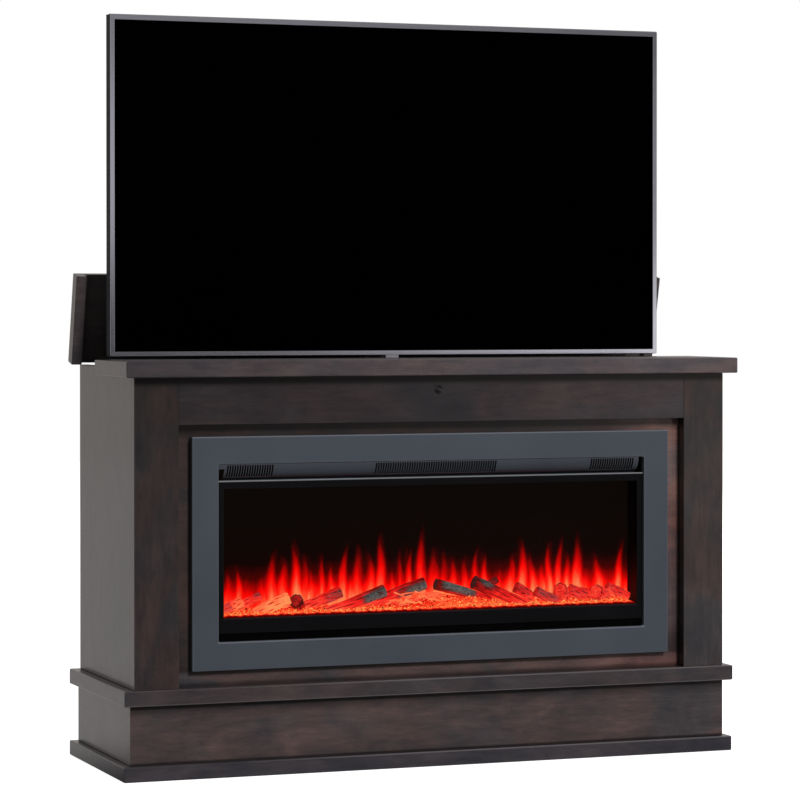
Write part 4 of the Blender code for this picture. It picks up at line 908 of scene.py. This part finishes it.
vent = dict(bulge=.034, turn=80, sheet=.001, pitch=.0052, slot=.0034, drop=.002, tall=.0238,
            lip=(-.0102, -.001), tab=(.0116, .0095), tabGap=.0001, steps=(5, 13, 6), tabSteps=(7, 5),
            groups=((-.4474, -.3474, 19), (-.132, .132, 51), (.3414, .4414, 19)))


def ventBar():
    # quarter-barrel sheet: depth is bulge times (1 - cos a), drop is height times sin a, with a lip turned
    # forward along its foot, slots left open and a tab on the same curve at the left end
    lo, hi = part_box("vent_bar")
    last = math.radians(vent["turn"])
    height = (hi.z - lo.z) / math.sin(last)

    def barrel(a, x):
        a = a[:, None]
        return gather(x, lo.y + vent["bulge"] * (1 - np.cos(a)), hi.z - height * np.sin(a))

    def addSheet(name, points, faces, replaced=()):
        piece = makePiece(name, points, faces[:, ::-1], barMetal, "cabinet", replaced,
                          closed=False)
        thicken(piece, vent["sheet"])

    foot, head = (math.asin((vent["drop"] + d) / height) for d in (vent["tall"], 0))
    above, beside, below = vent["steps"]
    a = np.concatenate([np.linspace(0, head, above), np.linspace(head, foot, beside)[1:],
                        np.linspace(foot, last, below)[1:], [last]])
    edges = [[lo.x]]
    for low, high, count in vent["groups"]:
        middle = (low + high) / 2 + (np.arange(count) - (count - 1) / 2) * vent["pitch"]
        edges.append(np.stack([middle - vent["slot"] / 2, middle + vent["slot"] / 2], -1).ravel())
    x = np.concatenate(edges + [[hi.x]])
    points = barrel(a, x)
    points[-1, :, 1:] += vent["lip"]
    middle = (a[:-1, None] + a[1:, None]) / 2
    slotOpen = (middle > head) & (middle < foot) & (np.arange(x.size - 1) % 2 == 1)
    addSheet("ventBar", points, gridFaces(a.size, x.size)[~slotOpen.ravel()], ("vent_bar",))
    wide, tall = vent["tab"]
    rows, cols = vent["tabSteps"]
    a = np.linspace(0, math.asin(tall / height), rows)
    x = np.linspace(lo.x - wide, lo.x - vent["tabGap"], cols)
    addSheet("ventTab", barrel(a, x), gridFaces(a.size, x.size))


guard = dict(half=.1335, pitch=.0033, y=(-.1632, -.161), z=(.5895, .62), rows=8, sheet=.0003)
guardPaint = dict(blackPaint, dark=(.016, .014, .014), light=(.034, .03, .03))


def heaterGuard():
    # folded fin sheet behind the middle slots: its depth steps from front to back with each fold
    folds = int(2 * guard["half"] / guard["pitch"])
    x = np.linspace(-guard["half"], guard["half"], 2 * folds + 1)
    front, back = guard["y"]
    y = np.where(np.arange(x.size) % 2, front, back)
    z = np.linspace(*guard["z"], guard["rows"])[:, None]
    piece = makePiece("heaterGuard", gather(x, y, z), gridFaces(z.size, x.size),
                      sprayedMetal("finGuard", guardPaint), "cabinet", closed=False,
                      sharp=15.0)
    thicken(piece, guard["sheet"])


bead = dict(half=.463, radius=.0016, steps=14, inset=.0004)
# light grey paint of the bead: a painted highlight
beadHighlightPaint = dict(shadedBarSlate, dark=(.14, .145, .155), light=(.18, .185, .195))


def frameStrip():
    # bead along the head of the glass frame, a round profile carried along X; its light grey paint is a
    # painted highlight of the frame's lit top edge
    lo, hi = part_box("glass_frame")
    angle = roundAngles(bead["steps"])
    x = np.array([[-bead["half"]], [bead["half"]]])
    y = lo.y + bead["inset"] + bead["radius"] * np.cos(angle)
    z = hi.z - bead["radius"] + bead["radius"] * np.sin(angle)
    makePiece("frameStrip", gather(x, y, z), tubeFaces(2, angle.size), sprayedMetal("frameBead", beadHighlightPaint),
              "cabinet")


ventBar()
heaterGuard()
frameStrip()
print("fireplace front made")


# Television front: steps are inset and depth behind the front

bezel = dict(screen=(.6048, .0099, .0115), screenCorner=.0004, lip=.0017, wall=.003, corner=.0025,
             innerCorner=.001, casingSteps=((0, .003), (.0004, .0019), (.0012, .0013)),
             plate=(.0012, .0006), plateSteps=((0, .0012), (0, .0006), (.0002, .0002)),
             plateFace=(.0005, .002), plateEdge=((.0006, 0), (.0001, .0003), (.0001, .0012)))
pod = dict(size=(.0148, .0118), back=.0003, under=.0012, corner=.0012,
           steps=((.0012, 0), (.0004, .0005), (0, .0016), (0, .013), (.001, .014)))
casing = dict(mouldedBlack, dark=(.03, .03, .032), light=(.042, .042, .045), shine=.05)
podGrey = dict(mouldedBlack, dark=(.15, .145, .155), light=(.26, .25, .27))
brushed = dict(dark=(.56, .58, .7), light=(.7, .725, .86), rough=(.065, .12), bump=.2)


def runMap(mesh, points):
    # UV map in metres: length round the frame, and distance over its section
    step = np.linalg.norm(np.diff(points, axis=1, append=points[:, :1]), axis=-1)
    run = np.cumsum(step, axis=1) - step
    over = np.cumsum(np.linalg.norm(np.diff(points, axis=0, prepend=points[:1]), axis=-1), axis=0)
    corner = np.empty(len(mesh.loops), np.int32)
    mesh.loops.foreach_get("vertex_index", corner)
    uv = np.stack([run.ravel(), over.ravel()], -1)[corner]
    mesh.uv_layers.new(name="run").data.foreach_set("uv", uv.astype(np.float32).ravel())


def tvBezel():
    # rectangle rings carried round the frame: a dark casing, and a brushed plate over its front
    lo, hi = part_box("tv_bezel")
    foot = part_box("tv_back_cover")[0].z
    front, back = lo.y, hi.y
    half, down, up = bezel["screen"]
    corner, inner, wall, lip = (bezel[key] for key in ("corner", "innerCorner", "wall", "lip"))
    plate, rise = bezel["plate"]

    def ring(inset, y, radius, lower=0):
        return roundedRing((lo.x + inset, hi.x - inset), (foot + inset - lower, hi.z - inset), y, radius)

    def screenRing(grow, y):
        return roundedRing((-half - grow, half + grow), (foot + down - grow, hi.z - up + grow), y,
                           bezel["screenCorner"])

    casingRings = [ring(0, back, corner)]
    casingRings += [ring(inset, front + depth, corner) for inset, depth in bezel["casingSteps"]]
    casingRings += [screenRing(0, front + bezel["casingSteps"][-1][1]), screenRing(0, front + lip),
                    ring(wall, front + lip, inner), ring(wall, back, inner)]
    plateRings = [ring(plate + inset, front + depth, corner, rise) for inset, depth in bezel["plateSteps"]]
    inset, radius = bezel["plateFace"]
    plateRings += [ring(plate + inset, front, radius, rise)]
    plateRings += [screenRing(grow, front + depth) for grow, depth in bezel["plateEdge"]]
    for name, rings, material, node in (
            ("tvBezel", casingRings, sprayedMetal("casingPlastic", casing), ("tv_bezel",)),
            ("tvFrontPlate", plateRings, brushedMetal("brushedPlate", brushed, "run"), ())):
        points = np.array(rings)
        piece = makePiece(name, points, gridFaces(*points.shape[:2], True, True), material, "tv_carriage",
                          node, sharp=12.0)
        runMap(piece.data, points)


def sensorPod():
    # small tab under the frame: rounded rings shrinking at both faces
    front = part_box("tv_bezel")[0].y + pod["back"]
    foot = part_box("tv_back_cover")[0].z
    half, down = pod["size"]
    points = np.array([roundedRing((-half + inset, half - inset), (foot - down + inset, foot + pod["under"]),
                                   front + y, pod["corner"]) for inset, y in pod["steps"]])
    makePiece("sensorPod", points, tubeFaces(*points.shape[:2]), sprayedMetal("podPlastic", podGrey),
              "tv_carriage")


eye = dict(sides=48, proud=.004, profile=[
    (.012, .0055), (0, .0055), (-.0003, .009), (-.0014, .009), (-.0021, .0084), (-.0024, .0072),
    (-.002, .0062), (-.0019, .006), (-.0027, .0056), (-.0034, .0046), (-.0038, .0032),
    (-.00395, .0016), (-.004, .0004)])
lens = dict(smear=((220, 220, 220),), rough=(.3, .8, .12, .22), Coat_Weight=.6, Coat_Roughness=.04,
            tones=[(.3, (.006, .005, .006)), (.8, (.016, .011, .013))])


def remoteEye():
    # rim and domed lens turned about the eye's axis
    lo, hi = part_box("ir_eye")
    points = turnedPoints(eye["profile"], (0, lo.y + eye["proud"], (lo.z + hi.z) / 2), eye["sides"])
    makePiece("remoteEye", points, tubeFaces(*points.shape[:2]), smearedPlastic("lensPlastic", **lens),
              "cabinet", ("ir_eye",))


tvBezel()
sensorPod()
remoteEye()
print("television and eye made")


# Fittings behind

screws = dict(x=(-.6, -.4, -.133, .133, .4, .6), up=.012, sides=16, profile=[
    (-.001, .00228), (0, .0038), (.00064, .0038), (.0016, .002736), (.0016, .001292), (.00056, .000988),
    (.00056, .00019)])
grommet = dict(hole=((-.37, -.23), (.2699, .3499)), corner=.0015, leastCorner=.0004, section=[
    (.007, 0), (.007, .00132), (.00525, .0022), (.0014, .0022), (-.0008, .0011), (-.0012, -.006),
    (-.0002, -.006), (-.0002, 0)])
louvres = dict(radius=.0016, proud=.0012, x=(-.42, .42), up=.17, count=22, pitch=.0062, long=.2, sides=10,
               along=(-.5, -.49, .49, .5), taper=(.4, 1.0, 1.0, .4))


def backScrews():
    # rows of dished screw heads along the head and foot of the back panel
    lo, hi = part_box("back_panel")
    heads = [turnedPoints(screws["profile"], (x, hi.y, z), screws["sides"])
             for z in (lo.z + screws["up"], hi.z - screws["up"]) for x in screws["x"]]
    makePiece("backScrews", heads, manyTubes(heads), zincFlat, "cabinet")


def cableGrommet():
    # rounded ring lining the cable hole: a section of (growth, depth) pairs carried round it
    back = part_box("back_panel")[1].y
    (x0, x1), (z0, z1) = grommet["hole"]
    corner, least = grommet["corner"], grommet["leastCorner"]
    points = np.array([roundedRing((x0 - grow, x1 + grow), (z0 - grow, z1 + grow), back + y,
                                   max(corner + grow, least)) for grow, y in grommet["section"]])
    makePiece("cableGrommet", points, gridFaces(*points.shape[:2], True, True), blackPlastic, "cabinet")


def coverLouvres():
    # tapered ribs over the television's air slots: a flattened round profile carried along X
    lo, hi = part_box("tv_back_cover")
    middle = (lo.z + hi.z) / 2
    angle = roundAngles(louvres["sides"])
    along, taper = (np.array(louvres[key])[:, None] for key in ("along", "taper"))
    x, y = along * louvres["long"], hi.y + louvres["proud"] * taper * np.cos(angle)
    z = louvres["radius"] * taper * np.sin(angle)
    ribs = [gather(cx + x, y, middle + louvres["up"] - k * louvres["pitch"] + z)
            for cx in louvres["x"] for k in range(louvres["count"])]
    makePiece("coverLouvres", ribs, manyTubes(ribs), blackPlastic, "tv_carriage")


backScrews()
cableGrommet()
coverLouvres()
print("rear fittings made")


# Camera, light and floor

view = dict(place=(-2.3244, -6.1858, .9404), tilt=.5895, turn=20.522, lens=142.338, sensor=36, rise=-.08)
lamps = {"frontLamp": (800.0, 1.6, (1.64, -8.6, 5.25)), "rearLamp": (520.0, 3.0, (4.6, 6.4, 4.6))}
lampAim = (0, 0, .75)
room = dict(fill=.26, front=(-.8, .05, .08, .61), rightEdge=(.26, .5), right=1.15,
            rightEnd=(.47, .54, 1, .03), upper=(.52, .22), upperEdge=(-.005, .025),
            overhead=(.055, .085, 1, .45), left=(0, -.45, 0, .35), warm=(1.0, .94, .89, 1.0))
ground = dict(half=12.0, below=.0006, paint=.5, glow=.93, back=(-.3, .55, .05, .66),
              right=(.8, 2.0, 0, .6), warm=(1.0, .955, .935, 1.0))


def placeCamera():
    lensData = bpy.data.cameras.new("frontCamera")
    lensData.sensor_width = view["sensor"]
    lensData.lens = view["lens"]
    lensData.shift_y = view["rise"]
    camera = addObject("frontCamera", lensData)
    camera.location = view["place"]
    camera.rotation_euler = (math.radians(90 - view["tilt"]), 0, math.radians(-view["turn"]))
    scene.camera = camera


def placeLamp(name, power, size, place):
    lamp = bpy.data.lights.new(name, "AREA")
    lamp.energy = power
    lamp.size = size
    holder = addObject(name, lamp)
    holder.location = place
    x, y, z = np.array(place) - np.array(lampAim)
    holder.rotation_euler = (math.atan2(math.hypot(x, y), z), 0, math.atan2(x, -y))
    holder.visible_transmission = False
    holder.visible_glossy = False


def seenRays(tree):
    # one for what the camera sees, also through glass, before any other bounce
    path = addNode(tree, "LightPath").outputs
    seen = larger(path["Is Camera Ray"], path["Is Transmission Ray"])
    bounced = smaller(plus(path["Diffuse Depth"], path["Glossy Depth"]), 1)
    return path, times(seen, minus(1, bounced))


def lightWorld():
    # white to the camera and through glass; mirrors see a white room that is dim straight ahead
    world = bpy.data.worlds.new("studio")
    scene.world = world
    world.use_nodes = True
    tree = world.node_tree
    path, seen = seenRays(tree)
    mirror = times(smaller(path["Glossy Depth"], 1),
                   minus(1, smaller(path["Diffuse Depth"], 1)))
    x, y, z = splitAxes(addNode(tree, "TexCoord").outputs["Generated"])
    lower = times(addRange(x, *room["rightEdge"], 0, room["right"]),
                  addRange(x, *room["rightEnd"]))
    upper = times(addRange(x, *room["rightEdge"], *room["upper"]),
                  addRange(z, *room["overhead"]))
    window = mixValues(addRange(z, *room["upperEdge"]), lower, upper)
    sides = larger(window, addRange(x, *room["left"]))
    walls = larger(addRange(y, *room["front"]), sides)
    level = mixValues(seen, mixValues(mirror, room["fill"], walls), 1.0)
    feed(tree.nodes["Background"].inputs, Strength=level, Color=mixColours(mirror, white, room["warm"]))


def layFloor():
    # white to the camera, plain paint for the light, and for mirrors a glow that grows to the back and right
    half, below = ground["half"], ground["below"]
    corners = [(x * half, y * half, -below) for x, y in ((-1, -1), (1, -1), (1, 1), (-1, 1))]
    mesh = bpy.data.meshes.new("studioFloor")
    mesh.from_pydata(corners, [], [(0, 1, 2, 3)])
    material = bpy.data.materials.new("studioFloor")
    material.use_nodes = True
    tree = material.node_tree
    tree.nodes.clear()
    path, seen = seenRays(tree)
    glossy = path["Is Glossy Ray"]
    matte = times(minus(1, glossy), ground["paint"])
    paint = joinNode("BsdfDiffuse", {"Color": matte})[0]
    x, y = splitAxes(objectPlace(tree))[:2]
    shine = larger(addRange(y, *ground["back"]), addRange(x, *ground["right"]))
    level = addShares((seen, glossy), (ground["glow"], shine))
    tone = mixColours(glossy, white, ground["warm"])
    glow = joinNode("Emission", {"Color": tone, "Strength": level})[0]
    both = joinNode("AddShader", {0: paint, 1: glow})[0]
    feed(addNode(tree, "OutputMaterial").inputs, Surface=both)
    material.cycles.emission_sampling = "NONE"
    mesh.materials.append(material)
    floor = addObject("studioFloor", mesh)


placeCamera()
for lampName, lampData in lamps.items():
    placeLamp(lampName, *lampData)
lightWorld()
layFloor()
scene.view_settings.view_transform = "Standard"
print("camera, light and floor placed")
